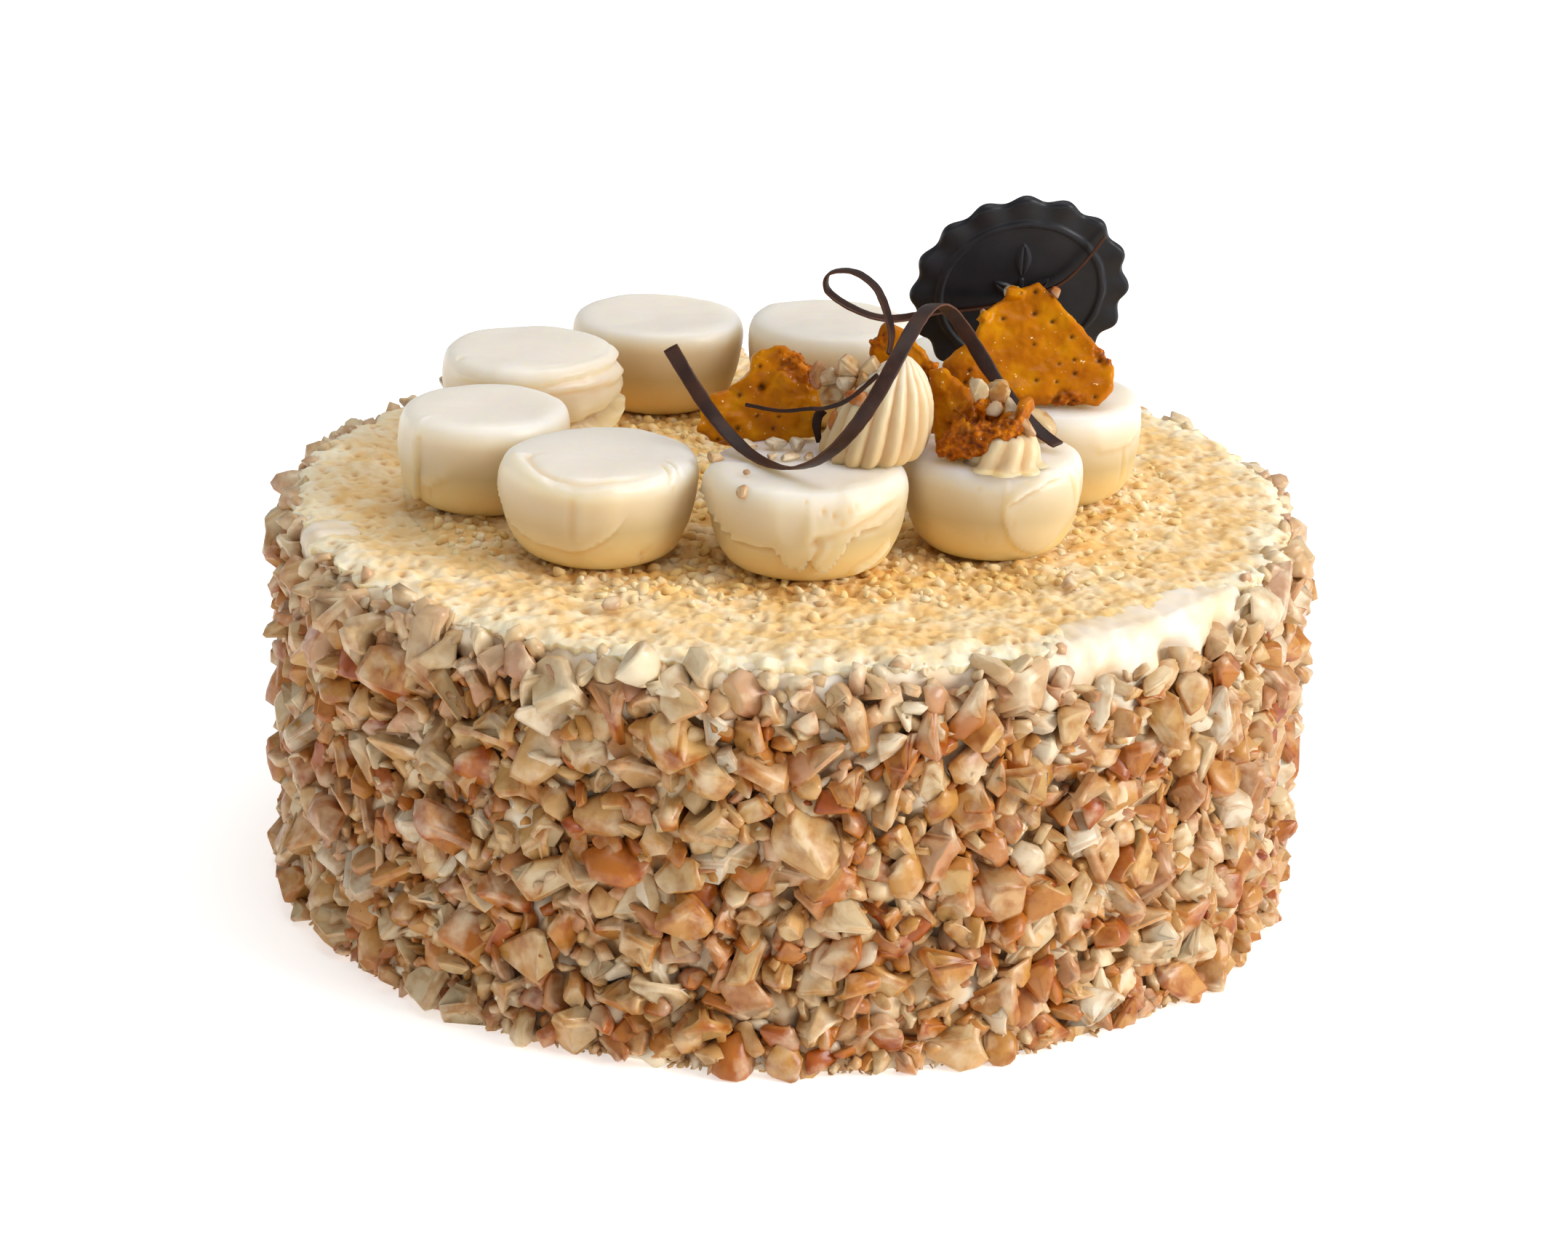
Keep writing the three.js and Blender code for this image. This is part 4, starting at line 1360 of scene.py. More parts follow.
@dataclass
class CreamRound:
    """One piped cream round with a flat top, a bowl-like side, and the marks of the spatula.

    A pit is an azimuth in degrees, a climb and a radius in millimetres. The outline and the
    shoulder are shares of the round's radius and height.
    """

    number: int
    layers: tuple[Layer, ...] = ()
    creases: tuple[Crease, ...] = ()
    pits: tuple[tuple[float, float, float], ...] = ()
    nuts_above: float = 0.0
    columns: int = 280
    side_rows: int = 54
    top_rows: int = 26
    outline: tuple[Span, ...] = (
        (0.55, 0.0), (0.62, 0.0), (0.79, 0.09), (0.92, 0.31), (0.995, 0.66), (0.99, 0.88),
        (0.94, 0.97), (0.85, 1.0), (0.76, 1.005),
    )
    shoulder: Span = (0.94, 0.97)
    top_reach: Span = (0.74, 0.04)
    swelling: float = 0.01
    dents: Relief = Relief(0.4, 14.0, 2)
    grain: Relief = Relief(0.06, 2.5, 2)
    edge_ripple: Relief = Relief(1.0, 3.0, 2)
    foot_fade: float = 2.0

    def marks(self, points: Array, radius: float, height: float) -> tuple[Array, Array, Array]:
        """Measures the marks at each point of the round.

        Args:
            points: the surface about the round's own foot.
            radius: the round's radius.
            height: the round's height.

        Returns:
            The lift in millimetres, how much smeared cream shows, and how much painted shade its
            hollows get.
        """
        azimuth = np.degrees(np.arctan2(points[:, 1], points[:, 0]))
        reach = np.hypot(points[:, 0], points[:, 1])
        brink = (self.shoulder[0] * radius, self.shoulder[1] * height)
        climb = np.where(points[:, 2] < brink[1], points[:, 2],
                         brink[1] + np.maximum(brink[0] - reach, 0))
        wobble = self.edge_ripple.at(points, 11.0 * self.number)
        # The hollow values are painted shade for the grooves, creases and pits.
        lift, spread, hollow_shade = (np.zeros(len(points)) for _ in range(3))
        for layer in self.layers:
            cover, groove = layer.shape(azimuth, climb, wobble)
            lift += layer.thickness * (cover - layer.groove * groove)
            spread = np.maximum(spread, layer.shade * cover)
            hollow_shade = np.maximum(hollow_shade, 0.3 * groove * min(1.0, layer.thickness))
        for crease in self.creases:
            pressed = crease.lift(azimuth, climb, radius)
            lift += pressed
            hollow_shade = np.maximum(hollow_shade, -0.8 * pressed)
        for at, level, size in self.pits:
            off = np.hypot(np.radians(azimuth - at) * radius, climb - level)
            lift -= 0.9 * size * dot(off, 0.75 * size)
            hollow_shade = np.maximum(hollow_shade, 0.5 * dot(off, 0.7 * size))
        return lift, spread, hollow_shade

    def build(self, material: Material) -> None:
        """Turns the section, swells it unevenly and presses the marks in.

        Args:
            material: the cream's finish.
        """
        node = f"cream_round_{self.number}"
        low, high = (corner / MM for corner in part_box(node))
        radius = (high.x - low.x) / 2
        height = high.z - low.z - self.nuts_above
        centre = np.array([(low.x + high.x) / 2, (low.y + high.y) / 2, low.z])
        side = smooth_path(self.outline, self.side_rows)
        flat = np.stack([np.linspace(*self.top_reach, self.top_rows),
                         np.full(self.top_rows, self.outline[-1][1])], 1)
        points, faces = closed_rings(lathe(np.vstack([side, flat]) * (radius, height), self.columns))
        around = np.arctan2(points[:, 1], points[:, 0])
        swell = 1 + self.swelling * (np.cos(2 * around + self.number)
                                     + 0.6 * np.cos(3 * around + 2 * self.number))
        lift, spread, hollow_shade = self.marks(points, radius, height)
        normals = normals_of(points, faces)
        points[:, :2] *= swell[:, None]
        lift += self.dents.at(points, 9.0 * self.number)
        lift += self.grain.at(points, 5.0 * self.number)
        points += normals * (lift * smoothstep(points[:, 2], 0.0, self.foot_fade))[:, None]
        mesh = new_mesh(node, points + centre, faces, {"layer": spread, "hollow_shade": hollow_shade})
        new_piece(f"{node}_piped", mesh, material, Slot.CREAM, node)


@dataclass
class Rosette:
    """A rosette piped with a star nozzle: rounded ridges that fan down from a leaning tip.

    The rings are shares of the radius and the height, from the foot to just under the tip.
    """

    name: str
    x: float
    y: float
    radius: float
    height: float
    ridges: int
    twist: float
    lean: Span
    rings: tuple[Span, ...]
    ridge_depth: float = 0.075
    ridge_sharpness: float = 0.42
    ridge_unevenness: float = 0.35
    smeared: float = 0.0
    lean_curve: float = 0.8
    ripples: Relief = Relief(0.2, 4.0)
    points_per_ridge: int = 16
    rows: int = 90

    def build(self, material: Material) -> None:
        """Turns the section with ridges and leans it to its tip.

        Args:
            material: the cream's finish.
        """
        outline = smooth_path((*self.rings, (0.02, 1.0)), self.rows)
        rings = lathe(outline * (self.radius, self.height), self.ridges * self.points_per_ridge)
        points, faces = closed_rings(rings)
        rise = np.clip(points[:, 2] / self.height, 0, 1)
        around = np.arctan2(points[:, 1], points[:, 0])
        crest = (np.cos(self.ridges * around / 2) ** 2 + 0.03) ** self.ridge_sharpness
        circling = np.stack([7 * np.cos(around), 7 * np.sin(around), rise], 1)
        uneven = 1 + self.ridge_unevenness * bumps(circling, 2.0)
        depth = 2 * self.ridge_depth * uneven * (1 - crest)
        reach = np.hypot(points[:, 0], points[:, 1]) * (1 - depth)
        turned = around + self.twist * rise
        leaning = rise ** self.lean_curve
        points[:, 0] = reach * np.cos(turned) + self.lean[0] * leaning
        points[:, 1] = reach * np.sin(turned) + self.lean[1] * leaning
        points += normals_of(points, faces) * self.ripples.at(points)[:, None]
        # Painted shade between the ridges goes in the hollow attribute.
        mesh = new_mesh(self.name, points + (self.x, self.y, ROUND_TOP), faces,
                        {"layer": np.full(len(points), self.smeared), "hollow_shade": 0.9 * (1 - crest)})
        new_piece(f"{self.name}_piped", mesh, material, Slot.CREAM, self.name)


@dataclass
class Brittle:
    """A broken piece of nut brittle: its solid, remeshed finely, made rough and pitted.

    A broken place is a point and a radius, within which the piece is crumbled.
    """

    name: str
    seed: int
    waviness: float = 0.4
    raggedness: float = 0.6
    pits: int = 16
    pit_radius: float = 0.5
    pit_spacing: float = 2.4
    broken: tuple[tuple[Point, float], ...] = ()
    slump: Point = (0.0, 0.0, 0.0)
    cell: float = 0.4
    smoothing: int = 4
    grit: Relief = Relief(0.06, 1.5, 2)
    crumbs: Relief = Relief(0.8, 1.7, 3, 5.0)
    crag_size: float = 2.1
    crag_height: float = 0.9

    def remeshed(self) -> tuple[Array, Faces]:
        """Makes an even fine mesh of the solid's surface.

        Returns:
            The points in millimetres, one for each row, and the faces.
        """
        shape = bmesh.new()
        shape.from_mesh(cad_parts[self.name].data)
        bmesh.ops.remove_doubles(shape, verts=shape.verts, dist=0.02 * MM)
        mesh = bpy.data.meshes.new(self.name)
        shape.to_mesh(mesh)
        shape.free()
        helper = new_object(f"{self.name}_helper", mesh)
        remesh = helper.modifiers.new("Remesh", "REMESH")
        remesh.mode = "VOXEL"
        remesh.voxel_size = self.cell * MM
        smooth = helper.modifiers.new("Smooth", "SMOOTH")
        smooth.iterations = self.smoothing
        fine = bpy.data.meshes.new_from_object(
            helper.evaluated_get(bpy.context.evaluated_depsgraph_get()))
        points = np.array([v.co for v in fine.vertices]) / MM
        faces = [tuple(p.vertices) for p in fine.polygons]
        bpy.data.objects.remove(helper)
        return points, faces

    def burst_places(self, points: Array, normals: Array) -> list[Array]:
        """Chooses places for the burst bubbles, spread over the piece's front and back.

        Args:
            points: the surface.
            normals: the outward normal at each point.

        Returns:
            A point for each bubble.
        """
        random = np.random.default_rng(self.seed)
        chosen: list[Array] = []
        for index in random.permutation(len(points))[:4000]:
            if len(chosen) == self.pits:
                break
            clear = all(np.linalg.norm(points[index] - spot) > self.pit_spacing for spot in chosen)
            if abs(normals[index, 1]) > 0.75 and clear:
                chosen.append(points[index].copy())
        return chosen

    def build(self, material: Material) -> None:
        """Sculpts the surface: waves, broken crags and burst bubbles.

        Args:
            material: the caramel's finish.
        """
        points, faces = self.remeshed()
        random = np.random.default_rng(self.seed)
        shift = 3.0 * self.seed
        points += self.raggedness * np.stack([bumps(points, 3.5, 3, shift + k)
                                              for k in range(3)], 1)
        normals = normals_of(points, faces)
        broken = np.zeros(len(points))
        for place, reach in self.broken:
            near = np.linalg.norm(points - place, axis=1) / reach
            broken = np.maximum(broken, 1 - smoothstep(near + 0.25 * bumps(points, 2.0, 2), 0.6, 1.0))
        lift = self.waviness * bumps(points, 5.0, 2, shift) + self.grit.at(points, shift)
        crags = np.array([noise.voronoi(p)[0][0] for p in (points / self.crag_size).tolist()])
        lift += broken * (self.crumbs.at(points, shift) + self.crag_height * (0.4 - crags))
        # The pit values mark painted shade in the burst bubbles' dents.
        pit_shade = np.zeros(len(points))
        for spot in self.burst_places(points, normals):
            size = self.pit_radius * random.uniform(0.7, 1.3)
            near = np.linalg.norm(points - spot, axis=1)
            lift -= 0.9 * size * dot(near, size)
            pit_shade = np.maximum(pit_shade, dot(near, 0.85 * size))
        points += normals * lift[:, None] + broken[:, None] * self.slump
        mesh = new_mesh(self.name, points, faces, {"broken": broken, "pit_shade": pit_shade})
        new_piece(f"{self.name}_cracked", mesh, material, Slot.BRITTLE, self.name)


def standing(foot: Point, turn: float, lean: float) -> Matrix:
    """The matrix that stands a flat shape on a foot, turned about Z and leaning back.

    Args:
        foot: where the shape's own origin goes.
        turn: turn about Z in degrees.
        lean: how far it leans back, in degrees.

    Returns:
        A 4 x 4 matrix.
    """
    around, back = math.radians(turn), math.radians(lean)
    across = Vector((math.cos(around), math.sin(around), 0))
    normal = Vector((math.sin(around) * math.cos(back), -math.cos(around) * math.cos(back),
                     math.sin(back)))
    basis = Matrix((across, normal.cross(across), normal)).transposed().to_4x4()
    basis.translation = foot
    return basis


def moved(points: Array, matrix: Matrix) -> Array:
    """The points after a 4 x 4 matrix."""
    grid = np.array(matrix)
    return points @ grid[:3, :3].T + grid[:3, 3]


@dataclass
class Medallion:
    """The chocolate medallion: a scalloped disc with a raised ring and a leaf sprig."""

    centre: Point = (43.3, 12.0, 113.4)
    turn: float = 7.5
    lean: float = -20.0
    radius: float = 21.0
    scallop: float = 0.03
    scallops: int = 16
    phase: float = 2.4
    thickness: float = 2.0
    edge_rounding: float = 0.8
    ring_radius: float = 16.0
    ring_width: float = 1.1
    relief: float = 0.5
    leaf_length: float = 7.5
    leaf_width: float = 3.4
    leaf_spread: float = 48.0
    leaf_offset: float = 0.35
    leaf_bases: Span = (-8.0, -2.0)
    top_leaf_base: float = 4.0
    rib_width: float = 0.22
    rib_depth: float = 0.35
    stem_half: float = 0.55
    stem_span: Span = (-12.0, 3.0)
    edge_reach: Span = (0.72, 1.0)
    edge_wave: float = 0.35
    warp: Relief = Relief(0.12, 9.0, 2)
    columns: int = 480
    front_rows: int = 110
    rim_rows: int = 13
    back_rows: int = 12

    def leaves(self) -> list[tuple[float, float, float]]:
        """Places the sprig's leaves.

        Returns:
            Base u, base v and turn in degrees of each leaf.
        """
        pairs = [(self.leaf_offset * side, base, self.leaf_spread * side)
                 for base in self.leaf_bases for side in (-1, 1)]
        return [*pairs, (0.0, self.top_leaf_base, 0.0)]

    def height(self, u: Array, v: Array) -> Array:
        """How far the front stands above the disc's plain face.

        Args:
            u: places across the face.
            v: places up the face.

        Returns:
            The relief in millimetres at each place.
        """
        off = np.abs(np.hypot(u, v) - self.ring_radius) / self.ring_width
        result = self.relief * np.exp(-(off * 1.6) ** 4)
        stem = np.hypot(u, v - np.clip(v, *self.stem_span)) / self.stem_half
        result = np.maximum(result, 0.8 * self.relief * (1 - smoothstep(stem, 0.5, 1.2)))
        for base_u, base_v, turn in self.leaves():
            cos, sin = math.cos(math.radians(turn)), math.sin(math.radians(turn))
            side = (u - base_u) * cos + (v - base_v) * sin
            up = -(u - base_u) * sin + (v - base_v) * cos
            share = np.clip(up / self.leaf_length, 0, 1)
            half = self.leaf_width / 2 * np.sin(math.pi * share) ** 0.8 + 1e-3
            blade = 1 - smoothstep(np.abs(side) / half, 0.55, 1.0)
            rib = self.rib_depth * dot(side, self.rib_width)
            inside = (up > 0) & (up < self.leaf_length)
            result = np.maximum(result, np.where(inside, self.relief * blade * (1 - rib), 0))
        return result

    def build(self, material: Material) -> None:
        """Makes the disc from rings: back, rounded rim, then the front with its relief.

        Args:
            material: the dark chocolate's finish.
        """
        half = self.thickness / 2
        inner = self.radius - self.edge_rounding
        turn = np.linspace(-math.pi / 2, math.pi / 2, self.rim_rows)
        rim = np.stack([inner + self.edge_rounding * np.cos(turn), half * np.sin(turn)], 1)
        back = np.stack([np.linspace(1, inner - 1, self.back_rows),
                         np.full(self.back_rows, -half)], 1)
        front = np.stack([np.linspace(inner - 0.2, 0.4, self.front_rows),
                          np.full(self.front_rows, half)], 1)
        points, faces = closed_rings(lathe(np.vstack([back, rim, front]), self.columns))
        reach = np.hypot(points[:, 0], points[:, 1])
        wave = np.cos(self.scallops * np.arctan2(points[:, 1], points[:, 0]))
        share = smoothstep(reach / self.radius, *self.edge_reach)
        on_front = points[:, 2] > half - 0.01
        points[:, 2] += np.where(on_front, self.height(points[:, 0], points[:, 1]), 0)
        points[:, 2] += self.edge_wave * share * wave * np.where(points[:, 2] > 0, 1, 0)
        points[:, 2] += self.warp.at(points)
        points[:, :2] *= (1 + self.scallop * wave * share)[:, None]
        turned = moved(points, Matrix.Rotation(math.radians(self.phase), 4, "Z"))
        stood = moved(turned, standing(self.centre, self.turn, self.lean))
        mesh = new_mesh("medallion", stood, faces)
        new_piece("medallion_moulded", mesh, material, Slot.DARK_CHOCOLATE, "medallion")


@dataclass
class Curl:
    """A chocolate curl: a thin ribbon, cut square at its ends, that follows a curve.

    Its breadth points along the axis, and in its second half goes from width to end_width.
    """

    name: str
    path: Callable[[int], Array]
    axis: Point
    width: float
    end_width: float
    thickness: float
    steps: int = 260
    section_points: int = 20
    unevenness: Relief = Relief(0.08, 3.0, 2)
    ripples: Relief = Relief(0.05, 1.6, 2)

    def build(self, material: Material) -> None:
        """Sweeps the ribbon's section along the path and marks its two edges.

        Args:
            material: the pared chocolate's finish.
        """
        places = self.path(self.steps)
        tangent = np.gradient(places, axis=0)
        tangent /= np.linalg.norm(tangent, axis=1, keepdims=True)
        axis = np.array(self.axis) / np.linalg.norm(self.axis)
        across = axis - (tangent @ axis)[:, None] * tangent
        across /= np.linalg.norm(across, axis=1, keepdims=True)
        normal = np.cross(tangent, across)
        breadth = np.interp(np.linspace(0, 1, self.steps), (0.5, 1.0), (self.width, self.end_width))
        breadth *= 1 + self.unevenness.at(places)
        around = np.linspace(0, 2 * math.pi, self.section_points, endpoint=False)
        wide = np.sign(np.cos(around)) * np.abs(np.cos(around)) ** 0.45 / 2
        thick = np.sign(np.sin(around)) * np.abs(np.sin(around)) ** 0.6 / 2
        rings = (places[:, None] + across[:, None] * (wide[:, None] * breadth[:, None, None])
                 + normal[:, None] * thick[:, None] * self.thickness)
        points, faces = closed_rings(rings)
        edge = np.tile(smoothstep(np.abs(wide), 0.42, 0.5), self.steps)
        points += normals_of(points, faces) * self.ripples.at(points)[:, None]
        mesh = new_mesh(self.name, points, faces, {"edge": np.append(edge, (0.0, 0.0))})
        new_piece(f"{self.name}_pared", mesh, material, Slot.CURL_CHOCOLATE, self.name)


@dataclass
class FrontHelix:
    """The front curl's centre line: a helix that lies along a horizontal axis."""

    start: Point = (-4.3, -48.2, 110.85)
    heading: float = 11.0
    radius: float = 15.1
    radius_loss: float = 0.33
    cross_scale: float = 1.12
    pitch: float = 57.0
    drop: float = 0.032
    turns: Span = (-1.7, 6.02)

    def points(self, count: int) -> Array:
        """Follows the helix at evenly spaced turns.

        Args:
            count: how many points are returned.

        Returns:
            The centre line's points, one for each row.
        """
        turn = np.linspace(*self.turns, count)
        along = self.pitch * turn / (2 * math.pi)
        reach = self.radius - self.radius_loss * turn
        aside = reach * self.cross_scale * np.sin(turn)
        cos, sin = math.cos(math.radians(self.heading)), math.sin(math.radians(self.heading))
        return np.stack([
            self.start[0] + along * cos + aside * sin,
            self.start[1] + along * sin - aside * cos,
            self.start[2] - self.drop * np.maximum(0, along) - reach * np.cos(turn),
        ], 1)


@dataclass
class Decoration:
    """Everything that stands on the cream rounds."""

    loop: tuple[Point, ...] = (
        (17.1, -29.5, 111.4), (17.5, -28, 114.6), (16.5, -24, 118.2), (14.4, -19, 121.4),
        (10.2, -15, 123.1), (5.9, -12.5, 121.9), (5.6, -10.5, 118.5), (9.7, -8.5, 114.8),
        (16.3, -6, 111.9), (28, 5.6, 110.4), (37.9, 9, 110.9), (45.8, 9.4, 113.1),
        (51.3, 9.2, 115.8), (55.2, 8.1, 120), (58.9, 6.5, 125.8),
    )
    thread: tuple[Point, ...] = (
        (-8.9, -34.5, 102.6), (-2.5, -35.5, 101.9), (2.4, -39.5, 103.6), (6.1, -45.6, 105.8),
        (9.8, -49, 108.5), (14.7, -49.6, 113.3),
    )
    scrap: tuple[Point, ...] = (
        (5.3, -34.7, 102), (4.5, -34.5, 100.9), (4.2, -34.4, 99), (4.5, -34.5, 97.2),
        (4.7, -34.7, 95.8),
    )

    def rounds(self) -> list[CreamRound]:
        """Lists the cream rounds, with what the spatula and the nozzle left on each.

        Returns:
            One round for each of the nine nodes.
        """
        plain = {"columns": 180, "side_rows": 40}
        return [
            CreamRound(1, **plain),
            CreamRound(2, layers=(
                Layer(((-150, 3.0), (-120, 2.2), (-80, 2.0), (-40, 2.6)), 4.0, 0.3, ripple=0.2),
            ), **plain),
            CreamRound(3, layers=(
                Layer(((-150, 16.6), (-132, 16.9), (-108, 17.0), (-86, 17.2), (-52, 18.3),
                       (-15, 18.3), (20, 17.6)), 3.5, 0.8, tapers=(25.0, 12.0)),
                Layer(((-110, 14.4), (-98, 14.8), (-78, 15.6), (-44, 15.7), (-15, 15.0),
                       (20, 14.6)), 2.5, 0.7, tapers=(25.0, 12.0)),
                Layer(((-74, 7.4), (-49, 8.8), (-31, 9.6), (-10, 11.0), (10, 12.0), (34, 12.0)),
                      6.0, 1.5, soft=1.0, tapers=(25.0, 20.0)),
                Layer(((-74, 6.6), (-49, 8.0), (-31, 8.8), (-10, 10.0), (10, 11.0), (34, 11.0)),
                      9.0, 2.8, lip=True, soft=1.4, tapers=(30.0, 20.0)),
            ), pits=((-146, 20.6, 0.8),)),
            CreamRound(4, layers=(
                Layer(((-178, 7.0), (-164, 3.4), (-150, 2.6), (-143, 4.6), (-138, 8.0), (-133, 14.0)),
                      14.0, 1.3, soft=0.5, groove=0.2),
                Layer(((-137, 5.6), (-128, 6.2), (-117, 8.0), (-104, 9.0)), 5.0, 0.5,
                      tapers=(2.0, 12.0)),
            ), pits=((-131, 4.6, 0.8), (-134, 15.6, 0.5))),
            CreamRound(5, layers=(
                Layer(((-176, 13.5), (-163, 11.0), (-154, 7.9), (-131, 5.3), (-114, 4.8),
                       (-100, 4.7), (-86, 6.9), (-76, 9.5), (-68, 13.0)), 15.0, 0.7,
                      shade=0.6, soft=0.7, ripple=0.15, tapers=(8.0, 12.0)),
                Layer(((-178, 24.0), (-166, 21.3), (-145, 20.4), (-123, 18.8), (-103, 17.6),
                       (-84, 17.9), (-61, 18.3), (-34, 19.4)), 5.0, 0.9, lip=True, soft=1.2,
                      groove=0.7, tapers=(16.0, 60.0)),
            ), creases=(Crease((-28, 21.5), (-40, 17.0), 0.6, 0.5),
                        Crease((-16, 22.5), (-30, 17.6), 0.6, 0.4),
                        Crease((-101, 15.5), (-103, 8.0), 0.9, 0.3)),
                pits=((-57, 3.8, 0.8), (-53, 4.8, 0.6), (-55, 2.4, 0.5), (-38, 15.5, 0.5))),
            CreamRound(6, nuts_above=2.1, layers=(
                Layer(((-176, 14.0), (-158, 12.4), (-143, 9.6), (-126, 8.0), (-106, 7.3),
                       (-101, 5.0), (-91, 4.2), (-87, 6.1), (-84, 4.7), (-76, 3.9), (-71, 5.9),
                       (-65, 9.3), (-45, 11.5), (-17, 12.7), (0, 14.0)), 13.0, 1.5, soft=0.4,
                      ripple=0.5, groove=0.5, tapers=(6.0, 70.0)),
                Layer(((-96, 9.6), (-83, 10.8), (-66, 12.2), (-45, 14.4), (-20, 15.6)), 4.0, 0.6,
                      soft=0.8, tapers=(14.0, 20.0)),
                Layer(((-58, 3.2), (-42, 5.0), (-28, 8.4)), 3.0, 1.0, lip=True, tapers=(6.0, 4.0)),
            ), creases=(Crease((-80, 9.4), (-87, 5.6), 0.6, 0.5),),
                pits=((-80, 15.4, 0.7), (-74, 14.6, 0.6), (-84, 9.8, 1.1), (-70, 13.2, 0.6),
                      (-90, 17.0, 0.4), (-62, 16.0, 0.4), (-66, 15.4, 0.5))),
            CreamRound(7, layers=(
                Layer(((-84, 12.6), (-76, 13.8), (-66, 15.2), (-56, 16.4), (-40, 16.8)), 2.8, 1.3,
                      soft=0.5, groove=0.5, tapers=(5.0, 12.0)),
                Layer(((-86, 12.0), (-84, 9.7), (-77, 5.0), (-64, 2.6), (-49, 2.7), (-38, 6.0),
                       (-28, 9.1), (-18, 12.0)), 10.0, 0.5, shade=0.8, soft=0.35,
                      tapers=(2.0, 10.0)),
            ), creases=(Crease((-33, 17.0), (-28, 10.5)),),
                pits=((-101, 15.9, 0.45), (-116, 7.2, 0.4), (-78, 8.9, 0.4), (-96, 6.0, 0.5))),
            CreamRound(8, creases=(Crease((-42, 12.5), (-36, 5.4), 0.6, 0.4),), layers=(
                Layer(((-75, 14.0), (-48, 12.6), (-20, 14.8)), 4.0, 0.5, tapers=(12.0, 12.0)),)),
            CreamRound(9, **plain),
        ]

    def rosettes(self) -> list[Rosette]:
        """Lists the tall rosette in front and the low one at the right.

        Returns:
            The two rosettes.
        """
        front = Rosette(
            "rosette_front", x=13.6, y=-38.8, radius=9.6, height=18.4, ridges=16, twist=-0.3,
            lean=(6.0, 2.0), rings=((0.7, 0.0), (0.92, 0.005), (1.0, 0.08), (0.97, 0.3),
                                    (0.87, 0.5), (0.68, 0.7), (0.42, 0.86), (0.2, 0.96)))
        right = Rosette(
            "rosette_right", x=38.6, y=-41.8, radius=6.6, height=6.4, ridges=8, twist=0.45,
            lean=(0.0, 0.0), ridge_depth=0.12, smeared=0.8, rows=40,
            rings=((1.2, -0.06), (1.16, 0.0), (1.04, 0.07), (0.98, 0.2), (0.94, 0.5),
                   (0.76, 0.84), (0.4, 0.98)))
        return [front, right]

    def brittle(self) -> list[Brittle]:
        """Lists the pieces of brittle, with where each is broken.

        Returns:
            The four pieces.
        """
        return [
            Brittle("brittle_large", 3, waviness=0.15, raggedness=0.3, pits=34,
                    broken=(((60.5, -7.0, 107.0), 4.0), ((52.0, -12.0, 96.0), 5.0))),
            Brittle("brittle_left", 5, waviness=0.9, pits=14,
                    broken=(((2.5, -27.0, 108.5), 6.0), ((-1.0, -28.0, 112.0), 4.0))),
            Brittle("brittle_back", 7, waviness=0.3, pits=3,
                    broken=(((15.0, -25.6, 113.0), 3.0), ((26.0, -25.6, 106.0), 4.0))),
            Brittle("brittle_centre", 9, waviness=0.3, pits=3, slump=(-0.6, -2.2, -1.4), broken=(
                ((30.0, -41.0, 99.2), 6.0), ((36.0, -41.2, 101.4), 6.5), ((41.0, -42.0, 103.0), 4.0),
                ((34.4, -36.4, 101.6), 7.0))),
        ]

    def curls(self) -> list[Curl]:
        """Lists the chocolate curls.

        Returns:
            The four curls.
        """
        helix = FrontHelix()
        heading = math.radians(helix.heading)
        loop, thread, scrap = (partial(smooth_path, route)
                               for route in (self.loop, self.thread, self.scrap))
        return [
            Curl("curl_front", helix.points, axis=(math.cos(heading), math.sin(heading), 0.0),
                 width=2.8, end_width=2.8, thickness=0.6),
            Curl("curl_loop", loop, axis=(0.35, 0.9, 0.1), width=2.2, end_width=0.7,
                 thickness=0.6),
            Curl("curl_thread", thread, axis=(0.0, 0.2, 1.0), width=0.75, end_width=0.9,
                 thickness=0.5, steps=80),
            Curl("curl_scrap", scrap, axis=(1.0, 0.0, 0.2), width=1.8, end_width=0.9,
                 thickness=0.6, steps=60),
        ]

    def build(self) -> None:
        """Builds every piece with its finish."""
        whipped = {"subsurface": 1.0, "bump_size": 1.6, "bump_height": 0.03}
        cream = PipedCream("piped_cream", 0.38, bleed=(11.0, 9.0, 5.5), **whipped).build()
        # The star cream's ramp is darker and warmer towards the rosettes' feet: painted shade.
        starred = PipedCream("star_piped_cream", 0.4, sides=(
            (0.0, "#CCAC78"), (0.3, "#D0B890"), (0.7, "#DAC8A6"), (1.0, "#E8DDC8"),
        ), foot=94.0, crown=111.0, bleed=(3.0, 2.5, 1.7), **whipped).build()
        caramel = NutBrittle("nut_brittle", 0.3, ior=1.5, specular=0.08, subsurface=0.15,
                             bleed=(3.0, 1.1, 0.05), coat=0.1, coat_roughness=0.05,
                             bump_size=0.9, bump_height=0.08).build()
        dark = Chocolate("dark_chocolate_moulded", 0.42, specular=0.3, coat=0.02,
                         coat_roughness=0.3, bump_size=0.7, bump_height=0.02).build()
        pared = Chocolate("dark_chocolate_pared", 0.42, specular=0.25, body="#291712",
                          edge="#5A3826", bump_size=0.5, bump_height=0.03).build()
        for piece in self.rounds():
            piece.build(cream)
        for piece in self.rosettes():
            piece.build(starred)
        for piece in self.brittle():
            piece.build(caramel)
        Medallion().build(dark)
        for curl in self.curls():
            curl.build(pared)


@dataclass
class Topping:
    """One listed nut: where it is, how large it looks, its tone, facing and turn."""

    place: Point
    width: float
    height: float
    tone: Tone
    facing: Point = (-0.3, -1.0, 0.5)
    turn: float = 0.0


